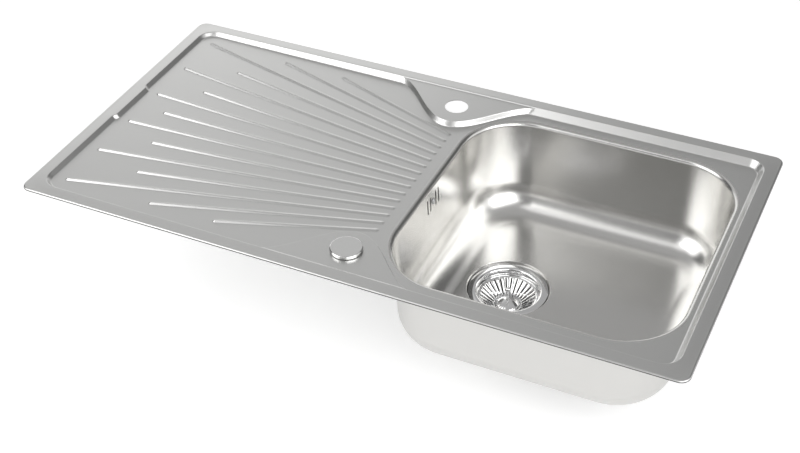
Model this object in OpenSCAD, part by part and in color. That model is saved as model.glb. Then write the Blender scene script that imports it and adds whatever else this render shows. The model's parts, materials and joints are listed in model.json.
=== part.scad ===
// Inset kitchen sink: one bowl at the right, a ribbed drainer at the left, two tap ledges.
// Origin: centre of the worktop cut-out, in the plane of the worktop's top.
// X runs along the sink to the right, Y to the back, Z up.

/* [Deck] */
// Length of the sink over its rim
deck_len = 965; // [940:1:1000]
// Width of the sink from front to back
deck_wid = 500; // [490:1:520]
// Thickness of the pressed steel sheet
sheet = 1; // [0.8:0.1:1.2]
// Height of the rim's top above the worktop
rim_h = 4; // [4:0.1:6]
// Radius of the rim's rolled edge
edge_r = 3; // [2:0.1:3.2]
// Gap between the rolled edge's lower end and the worktop
edge_gap = 0.4; // [0.2:0.1:0.8]
// Plan radius of the rim's corners
rim_corner_r = 14; // [8:0.5:20]
// Width of the flat border round the deck
border_w = 20; // [18:0.5:22]
// Plan radius of the recess inside the border
recess_corner_r = 26; // [20:1:40]
// Depth of the recess round the bowl
recess_depth = 10; // [9:0.5:12]
// Depth of the recess at the drainer's far end
fall_depth = 6; // [5:0.5:8]
// How far the border steps in at the middle of the left side
step_w = 3.5; // [2:0.5:6]
// Length of that step
step_len = 86; // [60:1:120]

/* [Drainer ribs] */
// Ribs on each side of the middle rib
rib_pairs = 7; // [4:1:7]
// Spacing of the ribs at the bowl
rib_pitch = 17.8; // [14:0.1:19]
// Radius of a rib's back
rib_r = 3.2; // [2.5:0.1:4]
// Height of a rib at the bowl
rib_high = 3; // [2:0.1:3.1]
// Height of a rib at its far end
rib_low = 1.2; // [0.8:0.1:2]
// Distance from the ribs' ends to the bowl's lip
rib_gap = 22; // [15:1:30]
// Distance from the ribs' ends to the point that the fan aims at
fan_reach = 358; // [320:1:420]

/* [Tap ledges] */
// Diameter of a tap hole
tap_hole_d = 35; // [32:0.5:38]
// Distance from the sink's edge to a tap hole's centre
tap_edge = 63; // [58:1:68]
// Distance from the tap holes' centres to the bowl's opening
tap_side = 42.5; // [40:0.5:50]
// Depth of a ledge below the rim
ledge_drop = 1.5; // [1:0.1:2.5]
// How far a ledge reaches in from the border
ledge_reach = 83; // [76:1:88]
// Half the length of a ledge's bell-shaped outline
ledge_half = 118; // [110:1:122]
// Width of a ledge's sloping flank over the recess's depth
ledge_flank = 5; // [4:0.5:6]

/* [Bowl] */
// Length of the bowl's opening
bowl_len = 400; // [360:1:404]
// Distance from the sink's front and back edges to the bowl's opening
bowl_side = 50; // [47:0.5:60]
// Depth of the bowl below the rim
bowl_depth = 159; // [145:1:190]
// Distance from the sink's right edge to the bowl's opening
bowl_edge = 40; // [39:0.5:44]
// Plan radius of the bowl's corners
bowl_corner_r = 88; // [70:1:96]
// Radius of the bowl's lip
bowl_lip_r = 7; // [5:0.5:8]
// Radius between the bowl's walls and floor
bowl_floor_r = 48; // [40:1:52]
// Draft of the bowl's walls in degrees
bowl_draft = 3; // [1:0.5:4]

/* [Waste] */
// Distance from the bowl's middle to the waste, towards the drainer
waste_offset = 80; // [60:1:82]
// Diameter of the waste's flange
flange_d = 116; // [113:1:118]
// Inside diameter of the waste's throat
throat_d = 90; // [86:1:91]
// Depth of the throat below the flange's top
throat_depth = 42; // [40:1:48]
// Thickness of the waste's pressed steel
waste_sheet = 1.2; // [1:0.1:1.5]
// Depth of the seat pressed round the waste
seat_depth = 5; // [4:0.5:8]
// Outside diameter of the waste's outlet thread
outlet_d = 47.8; // [40:0.1:50]
// Length of the outlet thread
outlet_len = 22; // [18:1:40]
// Depth of the strainer basket's rim below the flange
basket_drop = 11; // [9:1:17]
// Height of the strainer basket
basket_h = 18; // [15:1:19]
// Number of slots in the strainer basket
basket_slots = 28; // [20:2:32]
// Width of a slot in the strainer basket
basket_slot_w = 2.2; // [1.5:0.1:2.6]

/* [Overflow] */
// Depth of the overflow's middle below the rim
overflow_drop = 38; // [36:1:46]
// Spacing of the overflow's slots
overflow_pitch = 9.25; // [8:0.25:11]
// Width of an overflow slot
overflow_slot_w = 3.2; // [2.5:0.1:4]
// Height of an overflow slot
overflow_slot_h = 25; // [18:1:28]
// Outside diameter of the overflow hose
hose_d = 24; // [20:1:26]

/* [Fixing clips] */
// Distance from the sink's edge to the outer face of a clip rail
rail_inset = 12; // [11.5:0.1:13]
// How far a rail reaches below the worktop's top
rail_drop = 10; // [9:0.5:14]
// Thickness of the rails and clips
rail_sheet = 1; // [0.8:0.1:1.2]
// Distance from the deck's ends to the rails' ends
rail_end = 50; // [45:1:70]
// Length of a clip's arm from its pin
arm_len = 38; // [34:1:42]
// Width of a clip's arm
arm_w = 13; // [10:0.5:13]
// Diameter of a clip's pin
pin_d = 3; // [2.5:0.1:3.2]
// Diameter of a clamp screw
clamp_d = 5; // [4:0.5:6]

/* [Hidden] */
$fn = 64;
over = 1;
fit_gap = 0.3;
run_gap = 0.1;

// Heights of the deck
top = rim_h;
floor_z = top - recess_depth;
far_z = top - fall_depth;
deep = 2 * recess_depth;

// Plan of the deck
recess_len = deck_len - 2 * border_w;
recess_wid = deck_wid - 2 * border_w;
bowl_wid = deck_wid - 2 * bowl_side;
bowl_right = deck_len / 2 - bowl_edge;
bowl_left = bowl_right - bowl_len;
bowl_x = (bowl_left + bowl_right) / 2;
rib_end_x = bowl_left - bowl_lip_r - rib_gap;
fan_x = rib_end_x + fan_reach;
crease_x = rib_end_x + rib_gap / 2;
tap_x = bowl_left - tap_side;
tap_y = deck_wid / 2 - tap_edge;
tap_r = tap_hole_d / 2;

// Where the ribs begin, as shares of the deck's length, from the middle rib outwards
rib_start_shares = [0.087, 0.049, 0.1135, 0.049, 0.134, 0.049, 0.192, 0.297];
rib_tip_share = 0.8;
rib_tip_r_share = 0.45;
rib_tip = rib_tip_share * rib_r;

// Ledges
ledge_z = top - ledge_drop;
ledge_steps = 28;
ledge_end_share = 0.89;
ledge_hollow_share = 0.86;
ledge_wall_share = 1.4;

// Bowl
bowl_z = top - bowl_depth;
lip_z = floor_z - bowl_lip_r;
fillet_z = bowl_z + bowl_floor_r;
fillet_x = -(lip_z - fillet_z + bowl_floor_r * sin(bowl_draft)) * tan(bowl_draft)
    - bowl_floor_r * cos(bowl_draft);
floor_lap = 2;
lip_steps = 6;
fillet_steps = 12;

// Waste, from the seat in the bowl's floor downwards
waste_x = bowl_x - waste_offset;
flange_r = flange_d / 2;
throat_r = throat_d / 2;
throat_out_r = throat_r + waste_sheet;
throat_round = 4;
seal_t = 0.8;
seat_z = bowl_z - seat_depth;
seat_gap = 1;
seat_r = flange_r + seat_gap;
seat_slope = 2;
seat_hole_gap = 1.8;
seat_hole_r = throat_out_r + seat_hole_gap;
seal_in_r = throat_r + throat_round;
flange_z = seat_z + seal_t + waste_sheet;
throat_z = flange_z - throat_depth;
outlet_hole_in = 12;
outlet_hole_out = 27;
outlet_holes = 6;
outlet_hole_angle = 48;
gasket_t = 3;
collar_z = seat_z - sheet - gasket_t;
collar_t = 4;
cup_wall = 3;
cup_gap = 1;
cup_in_r = throat_out_r + cup_gap;
cup_r = cup_in_r + cup_wall;
cup_drop = 14;
cup_z = throat_z - cup_drop;
cone_h = 6;
outlet_r = outlet_d / 2;
outlet_wall = 4;
outlet_bore_r = outlet_r - outlet_wall;
outlet_z = cup_z - cone_h - outlet_len;
screw_r = 3;
screw_head_r = 6.5;
screw_head_h = 3;
hub_r = 8;
web_t = 3;
webs = 3;
web_h = 10;

// Basket
basket_z = flange_z - basket_drop - basket_h;
basket_gap = 0.8;
basket_rim_r = throat_r - basket_gap;
basket_rim_w = 3;
basket_foot_r = 21;
basket_t = 1.2;
basket_dome = 8;
post_r = 2.2;
post_hole_r = post_r + run_gap;
post_h = 20;
ball_r = 4.2;
plug_gap = 10;
plug_r = throat_r - plug_gap;
plug_t = basket_z - throat_z - fit_gap;

// Overflow
overflow_z = top - overflow_drop;
overflow_places = [-2, -1, 1, 2];
overflow_hole_r = 2.5;
overflow_head_r = 5;
overflow_head_h = 2;
box_w = 62;
box_h = 40;
box_d = 20;
box_wall = 2;
box_seal_w = 6;
box_seal_t = 3;
boss_r = 5;
spigot_r = 8;
spigot_bore_r = 6;
spigot_len = 14;
port_len = 18;
hose_sides = 8;
hose_r = hose_d / 2;
hose_wall = 1.2;
hose_bore_r = (spigot_r + run_gap) / cos(180 / hose_sides);
hose_end_r = hose_bore_r + hose_wall;
hose_bend_r = 34;
hose_rib_pitch = 4;
hose_seat_gap = 1;
collar_wall = 2;
collar_len = 9;
port_z = (collar_z - collar_t + throat_z) / 2;
box_top = overflow_z + box_h / 2;
box_bottom = overflow_z - box_h / 2;
box_x = wall_x(overflow_z) - box_seal_t - box_d;
spigot_x = box_x + box_d / 2;
hose_top_z = box_bottom - fit_gap;
hose_end_x = waste_x - cup_r - hose_seat_gap;
hose_drop = hose_top_z - port_z - hose_bend_r;
hose_arc = hose_bend_r * PI / 2;
hose_run = hose_end_x - spigot_x - hose_bend_r;
hose_len = hose_drop + hose_arc + hose_run;
hose_bend_steps = 6;

// Rails and clips: u is outwards from a rail's outer face, v along it
rail_y = deck_wid / 2 - rail_inset;
rail_flange = 6.5;
rail_len = deck_len - 2 * rail_end;
rail_z = top - sheet;
clip_end_share = 0.404;
clip_mid_share = 0.166;
clip_left_inset = 7.7;
clip_right_inset = 27.5;
clip_places = [
    -clip_end_share * deck_len, -clip_mid_share * deck_len,
    bowl_left + clip_left_inset, bowl_right - clip_right_inset
];
clips_a_side = len(clip_places);
clip_count = 2 * clips_a_side;
plate_t = 1.5;
back_u = -rail_sheet - fit_gap;
ear_v = arm_w / 2 + fit_gap + plate_t / 2;
pin_u = -8;
pin_z = -rail_drop;
barrel_wall = 2;
barrel_r = pin_d / 2 + barrel_wall;
arm_t = 2;
arm_drop_share = 0.8;
arm_z = pin_z - arm_drop_share * barrel_r;
claw_h = 5;
claw_teeth = 3;
clamp_r = clamp_d / 2;
clamp_inset = 8;
clamp_u = pin_u - arm_len + clamp_inset;
clamp_boss_h = 2;
clamp_tip = 6;
clamp_head_w = 1.8;
clamp_head_r = clamp_r + clamp_head_w;
cross_share = 1.4;
clamp_head_h = 2.2;
hook_v = 5;
hook_w = 3;
hook_z = -5;
hook_out = 1.6;

// Cap over the front tap hole
cap_over = 5;
cap_r = tap_r + cap_over;
cap_h = 4.5;
cap_round = 1.2;
cap_seal_t = 0.6;
cap_stud_r = 3;
cap_stud_len = 22;
washer_over = 6;
washer_r = tap_r + washer_over;
washer_t = 1.5;
nut_h = 7;
nut_r = 6;
wing_reach = 14;

// Strips under the sink
seal_inset = edge_r;
seal_w = 6;
seal_corner_r = 1;
pad_len = 100;
pad_wid = 180;
pad_t = 2;
pad_corner_r = 8;

// Rounded rectangle with true arcs
module rounded_rect(l, w, r) {
    square([l - 2 * r, w], center = true);
    square([l, w - 2 * r], center = true);
    for (sx = [-1, 1])
        for (sy = [-1, 1])
            translate([sx * (l / 2 - r), sy * (w / 2 - r)])
                intersection() {
                    circle(r);
                    translate([sx * r / 2, sy * r / 2]) square(r, center = true);
                }
}

// Sweeps a profile round a rounded rectangle: profile x is outwards from the outline, y is up
module swept(l, w, r) {
    for (s = [0, 180])
        rotate(s) {
            translate([0, w / 2, 0]) rotate([90, 0, 90])
                linear_extrude(l - 2 * r, center = true) children();
            translate([l / 2, 0, 0]) rotate([90, 0, 0])
                linear_extrude(w - 2 * r, center = true) children();
            translate([l / 2 - r, w / 2 - r, 0])
                rotate_extrude(angle = 90) translate([r, 0]) children();
            translate([-l / 2 + r, w / 2 - r, 0]) rotate(90)
                rotate_extrude(angle = 90) translate([r, 0]) children();
        }
}

// Ring sector between two angles, for rolled edges and fillets
module arc_band(r_in, r_out, a0, a1) {
    far = 2 * r_out;
    intersection() {
        difference() {
            circle(r_out);
            circle(r_in);
        }
        polygon([
            [0, 0],
            far * [cos(a0), sin(a0)],
            far * [cos((a0 + a1) / 2), sin((a0 + a1) / 2)],
            far * [cos(a1), sin(a1)]
        ]);
    }
}

// Height of the drainer's floor at x: it falls evenly to just beyond the ribs' ends
function deck_z(x) = x > crease_x ? floor_z :
    far_z + (floor_z - far_z) * (x + recess_len / 2) / (crease_x + recess_len / 2);

// Rolled edge: a quarter roll and a short upright
module edge_profile() {
    translate([-edge_r, top - edge_r]) arc_band(edge_r - sheet, edge_r, 0, 90);
    translate([-sheet, edge_gap]) square([sheet, top - edge_r - edge_gap]);
}

// Recess wall at 45 degrees, carried a little below the floor
module wall_profile() {
    reach = recess_depth + 2 * sheet;
    polygon([[0, top], [-reach, top - reach], [-reach, top - reach - sheet], [0, top - sheet]]);
}

// Space under the recess wall
module under_wall_profile() {
    reach = recess_depth + 3 * sheet;
    polygon([[0, top - sheet], [-reach, top - sheet - reach], [0, top - sheet - reach]]);
}

// Recess floor as a profile in X and Z
module floor_slab() {
    x0 = -recess_len / 2;
    x1 = recess_len / 2;
    intersection() {
        rotate([90, 0, 0]) linear_extrude(recess_wid, center = true)
            polygon([
                [x0, far_z], [crease_x, floor_z], [x1, floor_z],
                [x1, floor_z - sheet], [crease_x, floor_z - sheet], [x0, far_z - sheet]
            ]);
        translate([0, 0, floor_z - deep]) linear_extrude(2 * deep)
            rounded_rect(recess_len, recess_wid, recess_corner_r);
    }
}

// Everything below the recess floor's underside
module below_floor() {
    x0 = -deck_len / 2;
    x1 = deck_len / 2;
    rotate([90, 0, 0]) linear_extrude(deck_wid, center = true)
        polygon([
            [x0, deck_z(x0) - sheet], [crease_x, floor_z - sheet], [x1, floor_z - sheet],
            [x1, floor_z - deep], [x0, floor_z - deep]
        ]);
}

// One rib of the fan: a round bar that sinks into the floor towards its far end
module rib_bar(n, r) {
    x0 = (rib_start_shares[abs(n)] - 0.5) * deck_len;
    a = [x0, n * rib_pitch * (fan_x - x0) / fan_reach, deck_z(x0) + rib_low - rib_r];
    b = [rib_end_x, n * rib_pitch, deck_z(rib_end_x) + rib_high - rib_r];
    d = b - a;
    run = norm(d);
    translate(a) rotate([0, acos(d[2] / run), atan2(d[1], d[0])]) {
        cylinder(r = r, h = run);
        translate([0, 0, run]) cylinder(r1 = r, r2 = r * rib_tip_r_share, h = rib_tip);
        translate([0, 0, -rib_tip]) cylinder(r1 = r * rib_tip_r_share, r2 = r, h = rib_tip);
    }
}

// Bell-shaped outline of a ledge: distance from the border at u along it
function bell(u, reach) = reach * pow(cos(90 * u / ledge_half), 2);

// Solid under a ledge: a bell-shaped top with sloping flanks; inset makes the hollow
module ledge_block(end_share, drop, inset) {
    foot = recess_depth + 2 * sheet;
    flank = ledge_flank * (foot - ledge_drop) / (recess_depth - ledge_drop);
    rows = [for (i = [0 : ledge_steps])
        let (
            u = end_share * ledge_half * (2 * i / ledge_steps - 1),
            d = bell(u, ledge_reach) - inset
        )
            [
                [u, -ledge_drop, ledge_z - drop],
                [u, -d, ledge_z - drop],
                [u, -d - flank, top - foot - drop],
                [u, -ledge_drop, top - foot - drop]
            ]];
    pts = [for (row = rows) each row];
    last = 4 * ledge_steps;
    sides = [for (i = [0 : ledge_steps - 1]) for (j = [0 : 3])
        let (a = 4 * i + j, b = 4 * i + (j + 1) % 4)
            each [[a, a + 4, b + 4], [a, b + 4, b]]];
    translate([tap_x, recess_wid / 2, 0])
        polyhedron(pts, concat([[0, 1, 2], [0, 2, 3]], sides,
            [[last, last + 2, last + 1], [last, last + 3, last + 2]]));
}

module ledge_pair(end_share, drop, inset) {
    ledge_block(end_share, drop, inset);
    mirror([0, 1, 0]) ledge_block(end_share, drop, inset);
}

// Solid under the step in the left border
module step_block(length, drop) {
    reach = recess_depth + 2 * sheet;
    translate([-recess_len / 2, 0, -drop]) rotate([90, 0, 0])
        linear_extrude(length, center = true)
            polygon([[0, top], [step_w, top], [step_w + reach, top - reach], [0, top - reach]]);
}

// Pressed deck: rim, border, recess, ribs and ledges
module deck() {
    color("silver")
    difference() {
        union() {
            difference() {
                union() {
                    swept(deck_len, deck_wid, rim_corner_r) edge_profile();
                    translate([0, 0, top - sheet]) linear_extrude(sheet)
                        difference() {
                            rounded_rect(deck_len - 2 * edge_r, deck_wid - 2 * edge_r,
                                rim_corner_r - edge_r);
                            rounded_rect(recess_len, recess_wid, recess_corner_r);
                        }
                    swept(recess_len, recess_wid, recess_corner_r) wall_profile();
                    floor_slab();
                    for (n = [-rib_pairs : rib_pairs]) rib_bar(n, rib_r);
                }
                ledge_pair(ledge_end_share, 0, 0);
                step_block(step_len, 0);
            }
            difference() {
                ledge_pair(ledge_end_share, 0, 0);
                ledge_pair(ledge_hollow_share, sheet, ledge_wall_share * sheet);
            }
            difference() {
                step_block(step_len, 0);
                step_block(step_len - 2 * sheet, sheet);
            }
        }
        for (n = [-rib_pairs : rib_pairs]) rib_bar(n, rib_r - sheet);
        swept(recess_len, recess_wid, recess_corner_r) under_wall_profile();
        below_floor();
        translate([bowl_x, 0, floor_z - deep]) linear_extrude(2 * deep)
            rounded_rect(bowl_len + 2 * bowl_lip_r, bowl_wid + 2 * bowl_lip_r,
                bowl_corner_r + bowl_lip_r);
        for (s = [-1, 1])
            translate([tap_x, s * tap_y, floor_z]) cylinder(r = tap_r, h = deep);
    }
}

// Points of an arc round c, from one angle to another
function arc_points(c, r, a0, a1, steps) =
    [for (i = [0 : steps]) let (a = a0 + (a1 - a0) * i / steps) c + r * [cos(a), sin(a)]];

// Bowl's wall as one outline: lip, drafted wall, fillet and a lap for the floor
module bowl_profile() {
    lip = [bowl_lip_r, lip_z];
    fillet = [fillet_x, fillet_z];
    polygon(concat(
        arc_points(lip, bowl_lip_r, 90, 180, lip_steps),
        arc_points(fillet, bowl_floor_r, -bowl_draft, -90, fillet_steps),
        [[fillet_x - floor_lap, bowl_z], [fillet_x - floor_lap, bowl_z - sheet]],
        arc_points(fillet, bowl_floor_r + sheet, -90, -bowl_draft, fillet_steps),
        arc_points(lip, bowl_lip_r - sheet, 180, 90, lip_steps)
    ));
}

// Upright slot with round ends
module slot_2d(w, h) {
    square([w, h - w], center = true);
    for (s = [-1, 1])
        translate([0, s * (h - w) / 2]) intersection() {
            circle(w / 2);
            translate([0, s * w / 2]) square(w, center = true);
        }
}

// Pressed bowl with the seat for the waste and the overflow's slots
module bowl() {
    color("gainsboro")
    difference() {
        union() {
            translate([bowl_x, 0, 0]) {
                swept(bowl_len, bowl_wid, bowl_corner_r) bowl_profile();
                difference() {
                    translate([0, 0, bowl_z - sheet]) linear_extrude(sheet)
                        rounded_rect(bowl_len + 2 * fillet_x - floor_lap,
                            bowl_wid + 2 * fillet_x - floor_lap,
                            bowl_corner_r + fillet_x - floor_lap / 2);
                    translate([-waste_offset, 0, bowl_z - deep])
                        cylinder(r = seat_r + seat_slope, h = 2 * deep);
                }
            }
            translate([waste_x, 0, 0]) rotate_extrude()
                polygon([
                    [seat_r + seat_slope, bowl_z], [seat_r, seat_z], [seat_hole_r, seat_z],
                    [seat_hole_r, seat_z - sheet], [seat_r, seat_z - sheet],
                    [seat_r + seat_slope, bowl_z - sheet]
                ]);
        }
        translate([bowl_left, 0, overflow_z]) rotate([90, 0, 90])
            linear_extrude(2 * deep, center = true) {
                for (k = overflow_places)
                    translate([k * overflow_pitch, 0]) slot_2d(overflow_slot_w, overflow_slot_h);
                circle(overflow_hole_r);
            }
    }
}

// Foam strip under the rim
module rim_seal() {
    l = deck_len - 2 * seal_inset;
    w = deck_wid - 2 * seal_inset;
    color("dimgray")
    linear_extrude(rail_z) difference() {
        rounded_rect(l, w, rim_corner_r - seal_inset);
        rounded_rect(l - 2 * seal_w, w - 2 * seal_w, seal_corner_r);
    }
}

// Places a child at a side's rail: u outwards, v along the rail; side is -1 at the front
module at_side(side, x) {
    translate([x, side * rail_y, 0]) rotate(side * 90) children();
}

// Place of a clip along its rail
function clip_x(i) = clip_places[(i - 1) % clips_a_side];
function clip_side(i) = i > clips_a_side ? 1 : -1;

module at_clip(i) {
    at_side(clip_side(i), clip_x(i)) children();
}

// Folded steel rail with slots for the clips' hooks
module rail(side) {
    color("lightsteelblue")
    difference() {
        at_side(side, 0) {
            rotate([90, 0, 90]) translate([0, 0, -rail_sheet]) linear_extrude(rail_sheet)
                polygon([
                    [-rail_len / 2, rail_z], [rail_len / 2, rail_z],
                    [rail_len / 2 - rail_drop, -rail_drop], [-rail_len / 2 + rail_drop, -rail_drop]
                ]);
            translate([-rail_flange, -rail_len / 2, rail_z - rail_sheet])
                cube([rail_flange, rail_len, rail_sheet]);
        }
        for (i = [1 : clip_count])
            if (clip_side(i) == side)
                at_clip(i)
                    for (s = [-1, 1])
                        translate([0, s * hook_v, hook_z + hook_out / 2])
                            cube([
                                4 * rail_sheet, hook_w + 2 * fit_gap, plate_t + hook_out + 2 * fit_gap
                            ], center = true);
    }
}

module rail_front() {
    rail(-1);
}

module rail_back() {
    rail(1);
}

// Clip brackets: a plate hooked into the rail, with two ears for the pin
module clip_bracket() {
    for (s = [-1, 1]) {
        translate([back_u - plate_t, s * hook_v - hook_w / 2, hook_z - plate_t / 2])
            cube([plate_t - back_u + hook_out, hook_w, plate_t]);
        translate([fit_gap, s * hook_v - hook_w / 2, hook_z - plate_t / 2])
            cube([hook_out - fit_gap, hook_w, plate_t + hook_out]);
        translate([0, s * ear_v, 0]) rotate([90, 0, 0])
            difference() {
                linear_extrude(plate_t, center = true)
                    polygon([
                        [back_u, 0], [back_u, pin_z + fit_gap], [pin_u + barrel_r, pin_z - barrel_r],
                        [pin_u - barrel_r / 2, pin_z - barrel_r], [pin_u - barrel_r, pin_z],
                        [pin_u - barrel_r / 2, pin_z + barrel_r]
                    ]);
                translate([pin_u, pin_z, 0])
                    cylinder(r = pin_d / 2, h = 2 * plate_t, center = true);
            }
    }
    translate([back_u - plate_t, -ear_v - plate_t / 2, pin_z + fit_gap])
        cube([plate_t, 2 * ear_v + plate_t, -pin_z - fit_gap]);
}

module clip_brackets() {
    color("slategray")
    for (i = [1 : clip_count]) at_clip(i) clip_bracket();
}

module clip_pins() {
    color("gray")
    for (i = [1 : clip_count])
        at_clip(i) translate([pin_u, 0, pin_z]) rotate([90, 0, 0])
            cylinder(r = pin_d / 2, h = 2 * ear_v + 2 * plate_t, center = true);
}

// Clip arm, folded up under the deck: barrel, plate and toothed claw
module clip_arm(i) {
    tip = pin_u - arm_len;
    color("lightslategray")
    at_clip(i) difference() {
        union() {
            translate([pin_u, 0, pin_z]) rotate([90, 0, 0])
                cylinder(r = barrel_r, h = arm_w, center = true);
            translate([tip, -arm_w / 2, arm_z]) cube([arm_len, arm_w, arm_t]);
            translate([tip, 0, arm_z]) rotate([90, 0, 90]) linear_extrude(arm_t)
                polygon(concat(
                    [[-arm_w / 2, arm_t], [-arm_w / 2, -claw_h]],
                    [for (k = [1 : 2 * claw_teeth - 1])
                        [arm_w * (k / (2 * claw_teeth) - 0.5), k % 2 == 1 ? -claw_h / 2 : -claw_h]],
                    [[arm_w / 2, -claw_h], [arm_w / 2, arm_t]]
                ));
            translate([clamp_u, 0, arm_z - clamp_boss_h])
                cylinder(r = clamp_r + plate_t, h = clamp_boss_h + arm_t);
        }
        translate([pin_u, 0, pin_z]) rotate([90, 0, 0])
            cylinder(r = pin_d / 2 + run_gap, h = 2 * arm_w, center = true);
        translate([clamp_u, 0, arm_z - 2 * clamp_boss_h])
            cylinder(r = clamp_r + run_gap, h = 4 * clamp_boss_h + arm_t);
    }
}

// Clamp screw with a cross recess in its head
module clamp_screw(i) {
    head_z = arm_z + arm_t + run_gap;
    color("lightgray")
    at_clip(i) translate([clamp_u, 0, 0]) difference() {
        union() {
            translate([0, 0, arm_z - clamp_tip])
                cylinder(r = clamp_r, h = clamp_tip + arm_t + fit_gap);
            translate([0, 0, arm_z - clamp_tip - clamp_r])
                cylinder(r1 = clamp_r / 3, r2 = clamp_r, h = clamp_r);
            translate([0, 0, head_z]) cylinder(r = clamp_head_r, h = clamp_head_h);
        }
        for (a = [0, 90])
            translate([0, 0, head_z + clamp_head_h]) rotate(a)
                cube([cross_share * clamp_head_r, clamp_head_h / 3, clamp_head_h], center = true);
    }
}

// Cap that closes the front tap hole
module tap_hole_cap() {
    base = ledge_z + cap_seal_t;
    color("whitesmoke")
    translate([tap_x, -tap_y, 0]) {
        rotate_extrude() {
            translate([0, base]) square([cap_r, cap_h - cap_round]);
            translate([0, base + cap_h - cap_round]) square([cap_r - cap_round, cap_round]);
            translate([cap_r - cap_round, base + cap_h - cap_round])
                intersection() {
                    circle(cap_round);
                    square(cap_round);
                }
        }
        translate([0, 0, rail_z - ledge_drop])
            cylinder(r = tap_r - fit_gap, h = base - rail_z + ledge_drop);
        translate([0, 0, rail_z - ledge_drop - cap_stud_len])
            cylinder(r = cap_stud_r, h = cap_stud_len);
    }
}

module cap_seal() {
    color("black")
    translate([tap_x, -tap_y, ledge_z]) linear_extrude(cap_seal_t) difference() {
        circle(cap_r - cap_round);
        circle(tap_r);
    }
}

module cap_washer() {
    color("lightgray")
    translate([tap_x, -tap_y, rail_z - ledge_drop - washer_t]) linear_extrude(washer_t)
        difference() {
            circle(washer_r);
            circle(cap_stud_r + fit_gap);
        }
}

module cap_wing_nut() {
    color("gold")
    translate([tap_x, -tap_y, rail_z - ledge_drop - washer_t - nut_h]) difference() {
        union() {
            cylinder(r = nut_r, h = nut_h);
            for (s = [0, 180])
                rotate(s) translate([0, plate_t / 2, 0]) rotate([90, 0, 0]) linear_extrude(plate_t)
                    polygon([
                        [0, nut_h / 2], [nut_r, nut_h / 2], [wing_reach, 0],
                        [wing_reach, -nut_h], [nut_r + plate_t, -nut_h / 2], [0, nut_h / 4]
                    ]);
        }
        translate([0, 0, -over]) cylinder(r = cap_stud_r + run_gap, h = nut_h + 2 * over);
    }
}

// Outer face of the bowl's left wall at height z
function wall_x(z) =
    bowl_left + (lip_z - z) * tan(bowl_draft) - sheet / cos(bowl_draft);

// Slanted block on the bowl's wall: from a plane near the wall to a plane behind it
module wall_block(z0, z1, w, near, back) {
    rotate([90, 0, 0]) linear_extrude(w, center = true)
        polygon([[wall_x(z0) - near, z0], [wall_x(z1) - near, z1], [back(z1), z1], [back(z0), z0]]);
}

module overflow_gasket() {
    color("black")
    difference() {
        wall_block(box_bottom, box_top, box_w, 0, function(z) wall_x(z) - box_seal_t);
        wall_block(box_bottom + box_seal_w, box_top - box_seal_w, box_w - 2 * box_seal_w,
            -over, function(z) wall_x(z) - box_seal_t - over);
    }
}

// Housing behind the overflow's slots, with a boss for the screw and a spigot for the hose
module overflow_housing() {
    color("white")
    difference() {
        union() {
            difference() {
                wall_block(box_bottom, box_top, box_w, box_seal_t, function(z) box_x);
                wall_block(box_bottom + box_wall, box_top - box_wall, box_w - 2 * box_wall,
                    box_seal_t - over, function(z) box_x + box_wall);
            }
            translate([box_x, 0, overflow_z]) rotate([0, 90, 0])
                cylinder(r = boss_r, h = wall_x(overflow_z) - fit_gap - box_x);
            translate([spigot_x, 0, box_bottom - spigot_len])
                cylinder(r = spigot_r, h = spigot_len + box_wall);
        }
        translate([box_x + box_wall, 0, overflow_z]) rotate([0, 90, 0])
            cylinder(r = overflow_hole_r - fit_gap, h = box_d + box_seal_t);
        translate([spigot_x, 0, box_bottom - spigot_len - over])
            cylinder(r = spigot_bore_r, h = spigot_len + box_wall + 2 * over);
    }
}

// Screw from the bowl into the housing's boss
module overflow_screw() {
    x = wall_x(overflow_z) + sheet / cos(bowl_draft);
    shank = box_d + box_seal_t - 2 * box_wall;
    color("lightgray")
    translate([x, 0, overflow_z]) rotate([0, 90, 0]) difference() {
        union() {
            translate([0, 0, fit_gap])
                cylinder(r1 = overflow_head_r, r2 = overflow_head_r / 2, h = overflow_head_h);
            translate([0, 0, -shank])
                cylinder(r = overflow_hole_r - 2 * fit_gap, h = shank + fit_gap);
        }
        translate([0, 0, overflow_head_h]) cube([overflow_head_r, over, over], center = true);
    }
}

// The hose's route: down, round a quarter bend and across to the waste body's port
function hose_angle(s) = 90 * min(1, max(0, (s - hose_drop) / hose_arc));
function hose_at(s) =
    let (a = hose_angle(s))
        [
            spigot_x + hose_bend_r * (1 - cos(a)) + max(0, s - hose_drop - hose_arc),
            port_z + hose_bend_r * (1 - sin(a)) + max(0, hose_drop - s)
        ];
function hose_ring(s, r) =
    let (p = hose_at(s), a = hose_angle(s))
        [for (k = [0 : hose_sides - 1])
            let (t = 360 * (k + 0.5) / hose_sides, n = r * cos(t))
                [p[0] + n * cos(a), r * sin(t), p[1] + n * sin(a)]];
function tube_sides(rings, first, inside) =
    [for (i = [0 : rings - 2]) for (k = [0 : hose_sides - 1])
        let (
            a = first + i * hose_sides + k,
            b = first + i * hose_sides + (k + 1) % hose_sides,
            c = a + hose_sides,
            d = b + hose_sides
        )
            each inside ? [[a, b, d], [a, d, c]] : [[a, d, b], [a, c, d]]];
function tube_end(outer, inner, near) =
    [for (k = [0 : hose_sides - 1])
        let (
            a = outer + k,
            b = outer + (k + 1) % hose_sides,
            c = inner + k,
            d = inner + (k + 1) % hose_sides
        )
            each near ? [[a, b, d], [a, d, c]] : [[a, d, b], [a, c, d]]];

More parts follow.
